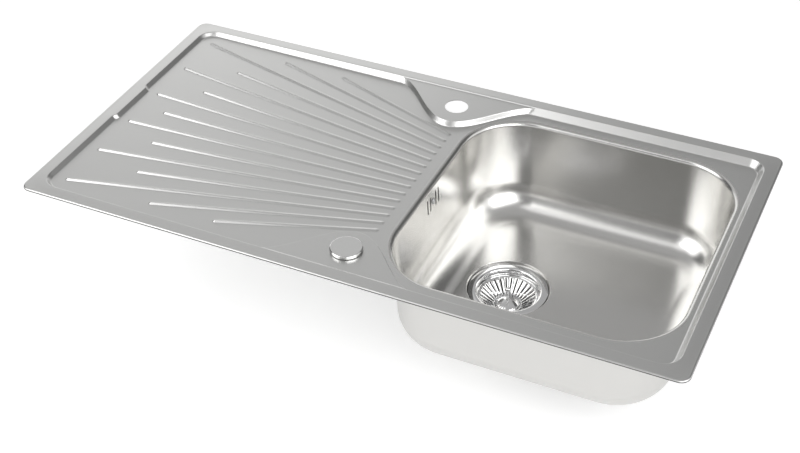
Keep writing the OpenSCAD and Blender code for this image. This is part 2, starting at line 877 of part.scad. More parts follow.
// Ribbed hose with a plain bore and plain ends
module overflow_hose() {
    ribbed = hose_len - 2 * hose_d;
    ribs = floor(ribbed / hose_rib_pitch);
    step = ribbed / ribs / 4;
    outer = concat(
        [[0, hose_end_r]],
        [for (i = [0 : ribs - 1])
            let (s = hose_d + 4 * i * step)
                each [
                    [s, hose_end_r], [s + step, hose_r],
                    [s + 2 * step, hose_r], [s + 3 * step, hose_end_r]
                ]],
        [[hose_len - hose_d, hose_end_r], [hose_len, hose_end_r]]
    );
    inner = concat(
        [0, hose_drop],
        [for (k = [1 : hose_bend_steps]) hose_drop + hose_arc * k / hose_bend_steps],
        [hose_len]
    );
    first_in = hose_sides * len(outer);
    pts = concat(
        [for (q = outer) each hose_ring(q[0], q[1])],
        [for (s = inner) each hose_ring(s, hose_bore_r)]
    );
    color("whitesmoke")
    polyhedron(pts, concat(
        tube_sides(len(outer), 0, false),
        tube_sides(len(inner), first_in, true),
        tube_end(0, first_in, true),
        tube_end(first_in - hose_sides, first_in + hose_sides * (len(inner) - 1), false)
    ));
}

// Collars that hold the hose on its two spigots
module hose_collars() {
    color("darkgray") {
        translate([spigot_x, 0, hose_top_z - collar_len - fit_gap]) hose_collar();
        translate([hose_end_x - collar_len - fit_gap, 0, port_z]) rotate([0, 90, 0]) hose_collar();
    }
}

module hose_collar() {
    linear_extrude(collar_len) difference() {
        circle(hose_end_r + fit_gap + collar_wall);
        circle(hose_end_r + fit_gap);
    }
}

// Flange, throat and grid of the waste, pressed from one piece
module waste_flange() {
    color("white")
    translate([waste_x, 0, 0]) difference() {
        union() {
            rotate_extrude() {
                translate([throat_r + throat_round, flange_z - waste_sheet])
                    square([flange_r - throat_r - throat_round, waste_sheet]);
                translate([throat_r + throat_round, flange_z - throat_round])
                    arc_band(throat_round - waste_sheet, throat_round, 90, 180);
                translate([throat_r, throat_z - waste_sheet])
                    square([waste_sheet, flange_z - throat_round - throat_z + waste_sheet]);
            }
            translate([0, 0, throat_z - waste_sheet]) cylinder(r = throat_r, h = waste_sheet);
        }
        for (k = [1 : outlet_holes])
            rotate(360 * k / outlet_holes) rotate_extrude(angle = outlet_hole_angle)
                translate([outlet_hole_in, throat_z - deep])
                    square([outlet_hole_out - outlet_hole_in, 2 * deep]);
        translate([0, 0, throat_z - deep]) cylinder(r = screw_r + run_gap, h = 2 * deep);
    }
}

module flange_seal() {
    color("black")
    translate([waste_x, 0, seat_z]) linear_extrude(seal_t) difference() {
        circle(flange_r);
        circle(seal_in_r);
    }
}

module waste_gasket() {
    color("black")
    translate([waste_x, 0, seat_z - sheet - gasket_t]) linear_extrude(gasket_t) difference() {
        circle(flange_r);
        circle(throat_out_r + fit_gap);
    }
}

// Plastic body under the bowl: collar, cup, cone, outlet and the port for the hose
module waste_body() {
    inner_z = throat_z - waste_sheet - fit_gap;
    color("ivory")
    translate([waste_x, 0, 0]) difference() {
        union() {
            difference() {
                union() {
                    rotate_extrude() polygon([
                        [0, collar_z], [flange_r, collar_z], [flange_r, collar_z - collar_t],
                        [cup_r, collar_z - collar_t], [cup_r, inner_z], [outlet_r, cup_z - cone_h],
                        [outlet_r, outlet_z], [0, outlet_z]
                    ]);
                    translate([-cup_r - port_len, 0, port_z]) rotate([0, 90, 0])
                        cylinder(r = spigot_r, h = port_len + cup_wall);
                }
                rotate_extrude() polygon([
                    [0, collar_z + over], [cup_in_r, collar_z + over], [cup_in_r, inner_z],
                    [outlet_bore_r, cup_z - cone_h + cup_wall], [outlet_bore_r, outlet_z - over],
                    [0, outlet_z - over]
                ]);
                translate([-cup_r - port_len - over, 0, port_z]) rotate([0, 90, 0])
                    cylinder(r = spigot_bore_r, h = port_len + 2 * cup_wall + over);
            }
            translate([0, 0, cup_z - web_h]) cylinder(r = hub_r, h = web_h + inner_z - cup_z);
            for (k = [1 : webs])
                rotate(360 * k / webs) translate([0, -web_t / 2, cup_z - web_h])
                    cube([outlet_bore_r + outlet_wall / 2, web_t, web_h]);
        }
        translate([0, 0, cup_z - web_h / 2]) cylinder(r = screw_r + run_gap, h = deep);
    }
}

// Screw that draws the flange and the body together
module waste_screw() {
    color("lightgray")
    translate([waste_x, 0, 0]) difference() {
        union() {
            translate([0, 0, cup_z - web_h / 2 + fit_gap])
                cylinder(r = screw_r, h = throat_z - cup_z + web_h / 2);
            translate([0, 0, throat_z + fit_gap]) cylinder(r = screw_head_r, h = screw_head_h);
        }
        translate([0, 0, throat_z + fit_gap + screw_head_h])
            cube([2 * screw_head_r + over, screw_r / 2, screw_r], center = true);
    }
}

// Slotted strainer basket with a low dome in its middle
module strainer_basket() {
    rim_z = basket_z + basket_h;
    wall_r = basket_rim_r - basket_rim_w;
    slot_in = basket_foot_r - basket_rim_w / 2;
    color("lightgray")
    translate([waste_x, 0, 0]) difference() {
        rotate_extrude() polygon([
            [basket_rim_r, rim_z], [basket_rim_r, rim_z - basket_t],
            [wall_r + basket_t, rim_z - basket_t], [basket_foot_r + basket_t, basket_z],
            [basket_foot_r - basket_rim_w, basket_z],
            [post_hole_r, basket_z + basket_dome - basket_t], [post_hole_r, basket_z + basket_dome],
            [basket_foot_r - basket_rim_w, basket_z + basket_t], [basket_foot_r, basket_z + basket_t],
            [wall_r, rim_z]
        ]);
        for (k = [1 : basket_slots])
            rotate(360 * k / basket_slots)
                translate([slot_in, -basket_slot_w / 2, basket_z - over])
                    cube([wall_r - basket_t - slot_in, basket_slot_w, basket_h - basket_t]);
    }
}

// Post and ball that lift the basket
module basket_post() {
    apex = basket_z + basket_dome;
    color("white")
    translate([waste_x, 0, 0]) {
        translate([0, 0, basket_z]) cylinder(r = post_r, h = basket_dome + post_h);
        translate([0, 0, apex + post_h]) sphere(r = ball_r);
        translate([0, 0, apex]) cylinder(r1 = 2 * post_r, r2 = post_r, h = post_r);
    }
}

// Rubber plug under the basket, hollow over the screw's head
module basket_plug() {
    color("black")
    translate([waste_x, 0, basket_z - plug_t]) difference() {
        union() {
            cylinder(r = plug_r, h = plug_t / 3);
            cylinder(r = basket_foot_r, h = plug_t);
        }
        translate([0, 0, -over])
            cylinder(r = screw_head_r + 2 * fit_gap, h = over + screw_head_h + 2 * fit_gap);
    }
}

// Damping pad on the bowl's underside
module sound_pad() {
    color("darkslategray")
    translate([(waste_x + seat_r + bowl_right + fillet_x) / 2, 0, bowl_z - sheet - pad_t])
        linear_extrude(pad_t) rounded_rect(pad_len, pad_wid, pad_corner_r);
}

deck();
bowl();
rim_seal();
rail_front();
rail_back();
clip_brackets();
clip_pins();
for (i = [1 : clip_count]) {
    clip_arm(i);
    clamp_screw(i);
}
tap_hole_cap();
cap_seal();
cap_washer();
cap_wing_nut();
overflow_gasket();
overflow_housing();
overflow_screw();
overflow_hose();
hose_collars();
waste_flange();
flange_seal();
waste_gasket();
waste_body();
waste_screw();
strainer_basket();
basket_post();
basket_plug();
sound_pad();
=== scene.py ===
"""Inset kitchen sink with drainboard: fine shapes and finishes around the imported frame."""
import json
import math

import bpy
import numpy as np
from mathutils import Matrix, Vector
from mathutils.geometry import delaunay_2d_cdt


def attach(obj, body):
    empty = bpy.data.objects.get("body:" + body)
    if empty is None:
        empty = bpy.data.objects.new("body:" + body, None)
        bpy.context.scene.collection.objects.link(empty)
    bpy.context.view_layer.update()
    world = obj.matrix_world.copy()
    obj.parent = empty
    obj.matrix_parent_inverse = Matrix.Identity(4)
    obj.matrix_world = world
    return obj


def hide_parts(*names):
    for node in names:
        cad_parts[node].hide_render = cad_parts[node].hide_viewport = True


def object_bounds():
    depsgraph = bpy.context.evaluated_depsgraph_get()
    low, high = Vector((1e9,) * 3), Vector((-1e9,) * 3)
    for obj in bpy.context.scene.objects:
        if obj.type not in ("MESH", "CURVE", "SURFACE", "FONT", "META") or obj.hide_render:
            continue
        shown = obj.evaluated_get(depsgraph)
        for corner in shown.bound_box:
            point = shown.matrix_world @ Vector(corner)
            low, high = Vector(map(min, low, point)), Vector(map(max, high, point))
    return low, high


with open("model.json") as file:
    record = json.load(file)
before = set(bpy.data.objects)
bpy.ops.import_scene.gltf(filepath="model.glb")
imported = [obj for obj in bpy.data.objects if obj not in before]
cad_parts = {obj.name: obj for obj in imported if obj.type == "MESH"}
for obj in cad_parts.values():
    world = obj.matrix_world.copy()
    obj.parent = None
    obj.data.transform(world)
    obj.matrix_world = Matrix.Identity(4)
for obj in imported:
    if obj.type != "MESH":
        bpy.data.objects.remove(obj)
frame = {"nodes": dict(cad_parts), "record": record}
cad_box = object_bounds()

MM = 0.001
UP = np.array([0.0, 0.0, 1.0])

# Sizes in millimetres, the same as in the part's source. The rolled edge, the border's fall and
# the ribs' section are the scene's own: they follow the reflections in the photograph.
DECK_LEN, DECK_WID = 965.0, 500.0
SHEET = 1.0
TOP = 4.0
EDGE_R, EDGE_GAP, EDGE_HEM = 2.4, 0.4, 0.2
EDGE_STEPS = 8
# Height and reach of the lower part of the rolled edge that is painted near-black: painted shade
# for the dark reflection under the rim
PAINTED_SHADE_EDGE_TOP, PAINTED_SHADE_EDGE_REACH = 2.0, 1.5
RIM_CORNER_R = 14.0
BORDER = 20.0
CROWN_SLOPE, CROWN_CURVE, CROWN_SOFT = 0.018, 0.0009, 4.0
RECESS_LEN, RECESS_WID = DECK_LEN - 2 * BORDER, DECK_WID - 2 * BORDER
RECESS_R = 26.0
FLOOR_Z = TOP - 10.0
FAR_Z = TOP - 6.0
STEP_W, STEP_HALF, STEP_RUN = 3.5, 43.0, 9.0
RIB_PAIRS, RIB_PITCH, RIB_HALF = 7, 17.8, 3.7
RIB_STEEP, RIB_SOFT, RIB_EASE = 0.76, 0.42, 1.4
RIB_CREST, RIB_FOOT_SOFT = 0.45, 0.4
WALL_SLOPE, WALL_FOOT_SOFT, WALL_TOP_SOFT = 1.25, 1.5, 1.0
RIB_START_SHARES = [0.087, 0.049, 0.1135, 0.049, 0.134, 0.049, 0.192, 0.297]
RIB_END_X, FAN_REACH = 13.5, 358.0
CREASE_X, CREASE_SOFT = RIB_END_X + 11.0, 12.0
TAP_R, TAP_Y, TAP_STEPS = 17.5, 187.0, 64
TAP_SINK = 0.25
LEDGE_Z = TOP - 1.5
LEDGE_REACH, LEDGE_HALF = 83.0, 118.0
LEDGE_SLOPE, LEDGE_TOP_SOFT, LEDGE_FOOT_SOFT = 1.7, 1.2, 2.2
BOWL_X, BOWL_SIZE, BOWL_R = 242.5, 400.0, 88.0
LIP_R, LIP_STEPS = 7.0, 12
LIP_Z = FLOOR_Z - LIP_R
BOWL_Z = TOP - 159.0
FLOOR_R, FILLET_STEPS = 48.0, 24
DRAFT = math.radians(3.0)
FILLET_Z = BOWL_Z + FLOOR_R
FILLET_X = (-(LIP_Z - FILLET_Z + FLOOR_R * math.sin(DRAFT)) * math.tan(DRAFT)
            - FLOOR_R * math.cos(DRAFT))
# The patch of the left wall that holds the overflow's openings, and the rows below it
PATCH_TOP, PATCH_FOOT, PATCH_HALF = -15.5, -52.5, 32.5
WALL_ROWS = (-66.0, -82.0, -96.0)
WASTE_X = BOWL_X - 80.0
SEAT_Z = BOWL_Z - 5.0
SEAT_TOP_R, SEAT_FOOT_R, SEAT_HOLE_R = 61.0, 58.2, 48.0
SEAT_STEPS, SEAT_ROWS = 72, 12
OVERFLOW_Z = TOP - 38.0
SLOT_W, SLOT_H, SLOT_PITCH = 3.2, 25.0, 9.25
SLOT_PLACES = (-2, -1, 1, 2)
OVERFLOW_HOLE_R, OVERFLOW_HOLE_STEPS = 2.5, 20
FLANGE_R, FLANGE_T, FLANGE_SEAL_T = 58.0, 1.2, 0.8
FLANGE_Z = SEAT_Z + FLANGE_SEAL_T + FLANGE_T
THROAT_R, THROAT_ROUND = 45.0, 4.0
THROAT_Z = FLANGE_Z - 42.0
THROAT_ROW, WASTE_STEPS = 12.0, 96
DRAINS, DRAIN_ANGLE, DRAIN_IN, DRAIN_OUT = 6, 48.0, 12.0, 27.0
SCREW_R = 3.1
BASKET_H, BASKET_T = 18.0, 1.2
BASKET_Z = FLANGE_Z - 11.0 - BASKET_H
BASKET_RIM_R, BASKET_WALL_R, BASKET_FOOT_R, DOME_R = 44.2, 41.2, 21.0, 18.5
BASKET_SLOTS, BASKET_SLOT_W, DOME_H = 28, 2.2, 8.0
SLOT_FROM, SLOT_TO, SLOT_SAG = 0.06, 0.98, 0.35
BASKET_EDGE, DOME_DIP, DOME_EASE, DOME_OPEN = 0.4, 0.3, 1.5, 0.13
POST_R, POST_H, BALL_R, POST_SINK, POST_STEPS = 2.2, 20.0, 4.2, 0.4, 40
CAP_R, CAP_H, CAP_STUD_R, CAP_STUD_LEN = 22.5, 4.5, 3.0, 22.0
CAP_SEAL_T, CAP_PLAY, CAP_SPIGOT, CAP_STEPS = 0.6, 0.3, 1.5, 72
CAP_EDGE_R, CAP_FOOT_R, CAP_EDGE_W = 1.5, 0.3, 4.0
HOSE_R, HOSE_END_R, HOSE_BORE_R, HOSE_BEND = 12.0, 9.9, 8.1, 34.0
HOSE_TOP_Z, HOSE_PLAIN, HOSE_RIB = OVERFLOW_Z - 20.3, 24.0, 4.0
HOSE_FROM_WALL, HOSE_FROM_WASTE, HOSE_EASE, HOSE_STEPS = 13.0, 5.0, 0.6, 32
PORT_Z = (SEAT_Z - 8.0 + THROAT_Z) / 2
SEAL_INSET, SEAL_W, SEAL_H, SEAL_SOFT = 3.0, 6.0, TOP - SHEET, 1.0
PAD_SIZE, PAD_T, PAD_CORNER, PAD_SOFT = (100.0, 180.0), 2.0, 8.0, 1.2
PAD_FROM_WASTE = 59.0
SMALL = 1e-6

# Where the deck is sampled, closest across each rounding: depths inside the recess's outline,
# distances from the ledges' outline, from a rib's middle line, from a tap hole and from the
# bowl's lip, the clearance of every other line from the openings, and the step along a rib
WALL_LINES = (-1.4, -0.9, -0.5, -0.2, 0.1, 0.4, 0.8, 1.3, 2.4, 3.5, 4.1, 4.6, 5.1, 5.7, 6.5, 7.0,
              7.5, 8.0, 8.5, 9.1, 10.0)
LEDGE_LINES = (-8, -7, -6.3, -5.6, -5.0, -4.4, -3.6, -2.6, -1.6, -1.0, -0.5, 0, 0.5, 1.1, 2.0, 4.0)
RIB_LINES = (0.4, 0.8, 1.2, 1.8, 2.5, 3.0, 3.4, 3.8, 4.2, 5.0)
TAP_LINES = (0.25, 0.6, 2.0)
LIP_LINES = (1.5, 5.0)
LIP_CLEAR, TAP_CLEAR = 0.8, 0.2
RIB_RUN = 16.0

# Points that fill the flat parts: ends and spacing along X and Y, and their least distance from
# the lines or loops
DECK_GRID, DECK_FILL_GAP = ((-472, 473, 14.75), (-240, 241, 13.3)), 6.0
BOWL_GRID, BOWL_FILL_GAP = ((110, 390, 22.0), (-132, 133, 22.0)), 9.0
PAD_GRID = ((-30, 31, 20), (-70, 71, 20))


# Shapes

class Skin:
    """A surface in millimetres: points, and faces with one normal for each corner."""

    def __init__(self):
        self.points, self.count, self.faces = [], 0, []

    def add(self, points):
        points = np.asarray(points, float).reshape(-1, 3)
        self.points.append(points)
        self.count += len(points)
        return np.arange(self.count - len(points), self.count)

    def face(self, ids, normals):
        """Faces of equal size: ids and normals have one row for each face."""
        self.faces.append((np.asarray(ids), np.asarray(normals, float)))

    def strip(self, a, b, normals_a, normals_b, closed=True, only=None):
        """Quads between two rows of points, at all of their places or only some."""
        n = len(a)
        j = np.arange(n if closed else n - 1) if only is None else only
        k = (j + 1) % n
        self.face(
            np.stack([a[j], a[k], b[k], b[j]], 1),
            np.stack([normals_a[j], normals_a[k], normals_b[k], normals_b[j]], 1),
        )

    def rows(self, loops, normals, closed=True):
        """Strips through a list of rows; returns the ids of each row."""
        ids = [self.add(loop) for loop in loops]
        for i in range(len(ids) - 1):
            self.strip(ids[i], ids[i + 1], normals[i], normals[i + 1], closed)
        return ids

    def spin(self, outline, place, steps, closed=True):
        """Turns an outline of (radius, height) points about an upright axis; the solid lies to
        the left of the outline's direction. Returns the ids of each point's ring."""
        outline = np.asarray(outline, float)
        entering, leaving = outline_normals(outline, closed)
        ring = spokes(full_turn(steps))
        ids = []
        for r, z in outline:
            count = steps if r > SMALL else 1
            ids.append(self.add(np.column_stack([r * ring[:count], np.full(count, z)]) + place))
        for i in range(len(outline) if closed else len(outline) - 1):
            k = (i + 1) % len(outline)
            low = np.column_stack([ring * leaving[i, 0], np.full(steps, leaving[i, 1])])
            high = np.column_stack([ring * entering[k, 0], np.full(steps, entering[k, 1])])
            j = np.arange(steps)
            if len(ids[i]) == len(ids[k]) == steps:
                self.strip(ids[i], ids[k], low, high)
            elif len(ids[i]) == steps:
                tip = np.full(steps, ids[k][0])
                self.face(np.stack([ids[i][j], ids[i][(j + 1) % steps], tip], 1),
                          np.stack([low, np.roll(low, -1, 0), high], 1))
            elif len(ids[k]) == steps:
                tip = np.full(steps, ids[i][0])
                self.face(np.stack([ids[k][j], ids[k][(j + 1) % steps], tip], 1),
                          np.stack([high, np.roll(high, -1, 0), low], 1))
        return ids

    def make(self, name):
        points = np.concatenate(self.points) * MM
        faces, corner_normals = [], []
        for ids, normals in self.faces:
            p = points[ids]
            turn = np.cross(p[:, 2] - p[:, 0], p[:, -1] - p[:, 1])
            if ids.shape[1] == 3:
                turn = np.cross(p[:, 1] - p[:, 0], p[:, 2] - p[:, 0])
            back = (turn * normals.mean(1)).sum(1) < 0
            ids, normals = ids.copy(), normals.copy()
            ids[back], normals[back] = ids[back][:, ::-1], normals[back][:, ::-1]
            faces += ids.tolist()
            corner_normals.append(normals.reshape(-1, 3))
        mesh = bpy.data.meshes.new(name)
        mesh.from_pydata(points.tolist(), [], faces)
        mesh.polygons.foreach_set("use_smooth", [True] * len(mesh.polygons))
        mesh.normals_split_custom_set(np.concatenate(corner_normals).tolist())
        mesh.update()
        obj = bpy.data.objects.new(name, mesh)
        bpy.context.scene.collection.objects.link(obj)
        return obj


def smooth_max(a, b, k):
    """Larger of a and b, rounded where they cross."""
    h = np.clip(0.5 + 0.5 * (a - b) / k, 0, 1)
    return b * (1 - h) + a * h + k * h * (1 - h)


def smooth_min(a, b, k):
    return -smooth_max(-a, -b, k)


def smooth_step(t):
    t = np.clip(t, 0, 1)
    return t * t * (3 - 2 * t)


def unit(v):
    return v / np.linalg.norm(v, axis=-1, keepdims=True)


def full_turn(steps):
    """Angles of a full turn in equal steps."""
    return np.arange(steps) * 2 * np.pi / steps


def spokes(angles):
    """Unit vectors in the plane at these angles."""
    return np.column_stack([np.cos(angles), np.sin(angles)])


def outline_normals(outline, closed=True):
    """Normals with which an outline enters and leaves each point: one soft normal where it
    bends a little, two where it has a sharp corner."""
    step = unit(np.roll(outline, -1, 0) - outline)
    side = np.column_stack([step[:, 1], -step[:, 0]])
    before = np.roll(side, 1, 0)
    if not closed:
        before[0], side[-1] = side[0], before[-1]
    soft = ((before * side).sum(1) > 0.8)[:, None]
    middle = unit(before + side + 1e-12)
    return np.where(soft, middle, before), np.where(soft, middle, side)


def rounded(corners, steps=5):
    """Closed outline through (x, y, radius) corners, each rounded by its radius."""
    points = []
    xy = np.array([c[:2] for c in corners], float)
    for i, (_, _, r) in enumerate(corners):
        a, b = unit(xy[i - 1] - xy[i]), unit(xy[(i + 1) % len(xy)] - xy[i])
        half = math.acos(np.clip(a @ b, -1, 1)) / 2
        if r < SMALL:
            points.append(xy[i])
            continue
        start, end = xy[i] + a * r / math.tan(half), xy[i] + b * r / math.tan(half)
        middle = xy[i] + unit(a + b) * r / math.sin(half)
        for k in range(steps + 1):
            way = start + (end - start) * k / steps - middle
            points.append(middle + unit(way) * r)
    return np.array(points)


def depth_inside(x, y, length, width, r):
    """Distance from a rounded rectangle's outline, positive inside it."""
    qx = np.abs(x) - (length / 2 - r)
    qy = np.abs(y) - (width / 2 - r)
    out = np.hypot(np.maximum(qx, 0), np.maximum(qy, 0)) + np.minimum(np.maximum(qx, qy), 0)
    return r - out


def columns(length, width, r, arc_steps, run, stops=()):
    """Corner centres and outward directions round a rounded rectangle, anticlockwise.
    stops are extra places along the left side."""
    base, out = [], []
    hl, hw = length / 2 - r, width / 2 - r
    corners = [(hl, hw), (-hl, hw), (-hl, -hw), (hl, -hw)]
    for i in range(4):
        a, b = np.array(corners[i]), np.array(corners[(i + 1) % 4])
        for k in range(arc_steps + 1):
            t = math.radians(90 * (i + k / arc_steps))
            base.append(a)
            out.append((math.cos(t), math.sin(t)))
        end = out[-1]
        side = np.linalg.norm(b - a)
        shares = set(np.round(np.linspace(0, 1, max(2, math.ceil(side / run)) + 1)[1:-1], 6))
        if i == 1:
            shares |= {round((hw - y) / side, 6) for y in stops}
        for s in sorted(shares):
            base.append(a + (b - a) * s)
            out.append(end)
    return np.array(base), np.array(out)


def ring_of(base, out, r, offset, z):
    """Row of points at an offset from a rounded rectangle of corner radius r."""
    xy = base + (r + offset) * out
    return np.column_stack([xy, np.full(len(xy), z)])


def with_up(out, level, rise):
    """Normals that lean outwards by level and up by rise."""
    n = np.column_stack([out * level, np.full(len(out), rise)])
    return unit(n)


def rib_line(n):
    """Start, end, direction and length of a rib's middle line."""
    x0 = (RIB_START_SHARES[abs(n)] - 0.5) * DECK_LEN
    y0 = n * RIB_PITCH * (RIB_END_X + FAN_REACH - x0) / FAN_REACH
    start, end = np.array([x0, y0]), np.array([RIB_END_X, n * RIB_PITCH])
    run = np.linalg.norm(end - start)
    return start, end, (end - start) / run, run


def floor_height(x):
    """The recess's floor: level at the bowl, and rising to the drainer's far end."""
    fall = (FAR_Z - FLOOR_Z) / (CREASE_X + RECESS_LEN / 2)
    return FLOOR_Z + fall * smooth_max(CREASE_X - x, np.zeros_like(x), CREASE_SOFT)


def side_step(x, y):
    """How far the recess's outline steps in at the middle of its left side."""
    step = STEP_W * (1 - smooth_step((np.abs(y) - STEP_HALF + STEP_RUN / 2) / STEP_RUN))
    return np.where(x < -RECESS_LEN / 3, step, 0)


def recess_depth(x, y):
    """Distance from the recess's outline, positive inside it."""
    return depth_inside(x, y, RECESS_LEN, RECESS_WID, RECESS_R) - side_step(x, y)


def crown(out):
    """How far the border has fallen at a distance outside the recess."""
    out = smooth_min(out, BORDER - EDGE_R, CROWN_SOFT)
    return CROWN_SLOPE * out + CROWN_CURVE * out ** 2


EDGE_TOP = TOP - crown(BORDER - EDGE_R)


def ledge_reach(x):
    """How far a tap ledge reaches in from the border: a bell with its middle at X = 0."""
    u = np.minimum(np.abs(x), LEDGE_HALF)
    return LEDGE_REACH * np.cos(np.pi / 2 * u / LEDGE_HALF) ** 2


def deck_height(x, y):
    """Top of the deck: border, recess, ledges and ribs, with the roundings of a pressing."""
    floor = floor_height(x)
    s = np.abs(y) - (RECESS_WID / 2 - ledge_reach(x))
    ledge = LEDGE_Z + np.minimum(s, 0) * LEDGE_SLOPE
    z = smooth_min(ledge, np.full_like(x, LEDGE_Z), LEDGE_TOP_SOFT)
    z = smooth_max(z, floor, LEDGE_FOOT_SOFT)
    for n in range(-RIB_PAIRS, RIB_PAIRS + 1):
        a, _, d, run = rib_line(n)
        t = (x - a[0]) * d[0] + (y - a[1]) * d[1]
        across = (y - a[1]) * d[0] - (x - a[0]) * d[1]
        share = np.clip(t / run, 0, 1)
        beyond = t - share * run
        away = np.hypot(across, beyond)
        flank = RIB_SOFT + (RIB_STEEP - RIB_SOFT) * (1 - share) ** RIB_EASE
        rib = floor + np.hypot(RIB_CREST, flank * RIB_HALF) - np.hypot(RIB_CREST, flank * away)
        z = np.where(away < 2 * RIB_HALF, smooth_max(rib, z, RIB_FOOT_SOFT), z)
    depth = recess_depth(x, y)
    z = smooth_max(z, TOP - WALL_SLOPE * depth, WALL_FOOT_SOFT)
    return smooth_min(z, TOP - crown(np.maximum(-depth, 0)), WALL_TOP_SOFT)


def deck_normals(x, y):
    """Upward normals of the deck's surface, from its height on either side of each point."""
    e = 0.04
    dx = (deck_height(x + e, y) - deck_height(x - e, y)) / (2 * e)
    dy = (deck_height(x, y + e) - deck_height(x, y - e)) / (2 * e)
    return unit(np.column_stack([-dx, -dy, np.ones_like(dx)]))


def grid_points(along_x, along_y):
    """Points of a grid from its (start, stop, step) in X and Y."""
    gx, gy = np.meshgrid(np.arange(*along_x), np.arange(*along_y))
    return np.column_stack([gx.ravel(), gy.ravel()])


def far_from(points, others, gap):
    """Those of points that lie further than gap from all of others."""
    cells = {}
    for p in others:
        cells.setdefault((int(p[0] // gap), int(p[1] // gap)), []).append(p)
    kept = []
    for p in points:
        i, j = int(p[0] // gap), int(p[1] // gap)
        near = (q for a in (-1, 0, 1) for b in (-1, 0, 1) for q in cells.get((i + a, j + b), ()))
        if all((p[0] - q[0]) ** 2 + (p[1] - q[1]) ** 2 > gap * gap for q in near):
            kept.append(p)
    return np.array(kept).reshape(-1, 2)


def runs_of(row, closed, keep):
    """A line without the points that aren't kept, as the runs that are left of it."""
    if keep.all():
        return [(row, closed)]
    if closed:
        first = int(np.argmin(keep))
        row, keep = np.roll(row, -first, 0), np.roll(keep, -first)
    cuts = np.flatnonzero(np.diff(keep.astype(int))) + 1
    parts = zip(np.split(row, cuts), np.split(keep, cuts))
    return [(part, False) for part, kept in parts if kept[0] and len(part) > 1]


def web(loops, lines=(), extra=()):
    """Triangles between an outer loop and hole loops, with edges along lines and through
    extra points. Returns the points, the triangles, and the ids of each loop's points."""
    points, edges, starts = [], [], []
    for row, closed in [(loop, True) for loop in loops] + list(lines):
        start, n = len(points), len(row)
        points += [Vector(p) for p in row]
        edges += [(start + i, start + (i + 1) % n) for i in range(n if closed else n - 1)]
        starts.append((start, n))
    starts = starts[:len(loops)]
    points += [Vector(p) for p in extra]
    co, _, tris, origin, _, _ = delaunay_2d_cdt(points, edges, [], 0, 1e-5)
    place = {i: n for n, group in enumerate(origin) for i in group}
    ids = [np.array([place[s + i] for i in range(n)]) for s, n in starts]
    owner = np.full(len(co), -1)
    for k, loop_ids in enumerate(ids):
        owner[loop_ids] = k
    kept = [t for t in tris if owner[t[0]] <= 0 or len(set(owner[list(t)])) > 1]
    return np.array([(p.x, p.y) for p in co]), np.array(kept), ids


def circle(x, y, r, steps):
    return np.array([x, y]) + r * spokes(full_turn(steps))


def bowl_columns():
    """Columns round the bowl's opening, with a column at each side of the overflow's patch."""
    base, out = columns(BOWL_SIZE, BOWL_SIZE, BOWL_R, arc_steps=32, run=10.0,
                        stops=(PATCH_HALF, -PATCH_HALF))
    return base + (BOWL_X, 0), out


def deck_lines():
    """Lines along which the deck's surface is sampled, and whether each is closed."""
    stops = [s * (STEP_HALF + d) for s in (-1, 1) for d in np.arange(-6, 6.1, 1.5)]
    base, out = columns(RECESS_LEN, RECESS_WID, RECESS_R, arc_steps=12, run=9.0, stops=stops)
    lines = []
    for depth in WALL_LINES:
        loop = base + (RECESS_R - depth) * out
        loop[:, 0] -= side_step(loop[:, 0], loop[:, 1]) * out[:, 0]
        lines.append((loop, True))
    u = np.arange(-LEDGE_HALF, LEDGE_HALF + 0.1, 3.0)
    for s in LEDGE_LINES:
        y = RECESS_WID / 2 - ledge_reach(u) + s
        for side in (-1, 1):
            row = np.column_stack([u, side * y])
            lines += runs_of(row, False, recess_depth(row[:, 0], row[:, 1]) > 0.6)
    for n in range(-RIB_PAIRS, RIB_PAIRS + 1):
        a, b, d, run = rib_line(n)
        side = np.array([-d[1], d[0]])
        along = np.linspace(0, run, max(3, round(run / RIB_RUN)))[:, None]
        turn = np.radians(np.arange(1, 8) * 22.5)[:, None]
        lines.append((a + d * along, False))
        for c in RIB_LINES:
            lines.append((np.concatenate([
                a + d * along - side * c,
                b + c * (d * np.sin(turn) - side * np.cos(turn)),
                (a + d * along + side * c)[::-1],
                a - c * (d * np.sin(turn) - side * np.cos(turn)),
            ]), True))
    for s in (-1, 1):
        lines += [(circle(0, s * TAP_Y, TAP_R + d, TAP_STEPS), True) for d in TAP_LINES]
    base, out = bowl_columns()
    lines += [(base + (BOWL_R + LIP_R + d) * out, True) for d in LIP_LINES]
    return lines


def off_openings(points):
    """True for points that lie clear of the bowl's mouth and the tap holes."""
    size = BOWL_SIZE + 2 * LIP_R
    lip = depth_inside(points[:, 0] - BOWL_X, points[:, 1], size, size, BOWL_R + LIP_R)
    clear = lip < -LIP_CLEAR
    for s in (-1, 1):
        clear &= np.hypot(points[:, 0], points[:, 1] - s * TAP_Y) > TAP_R + TAP_CLEAR
    return clear


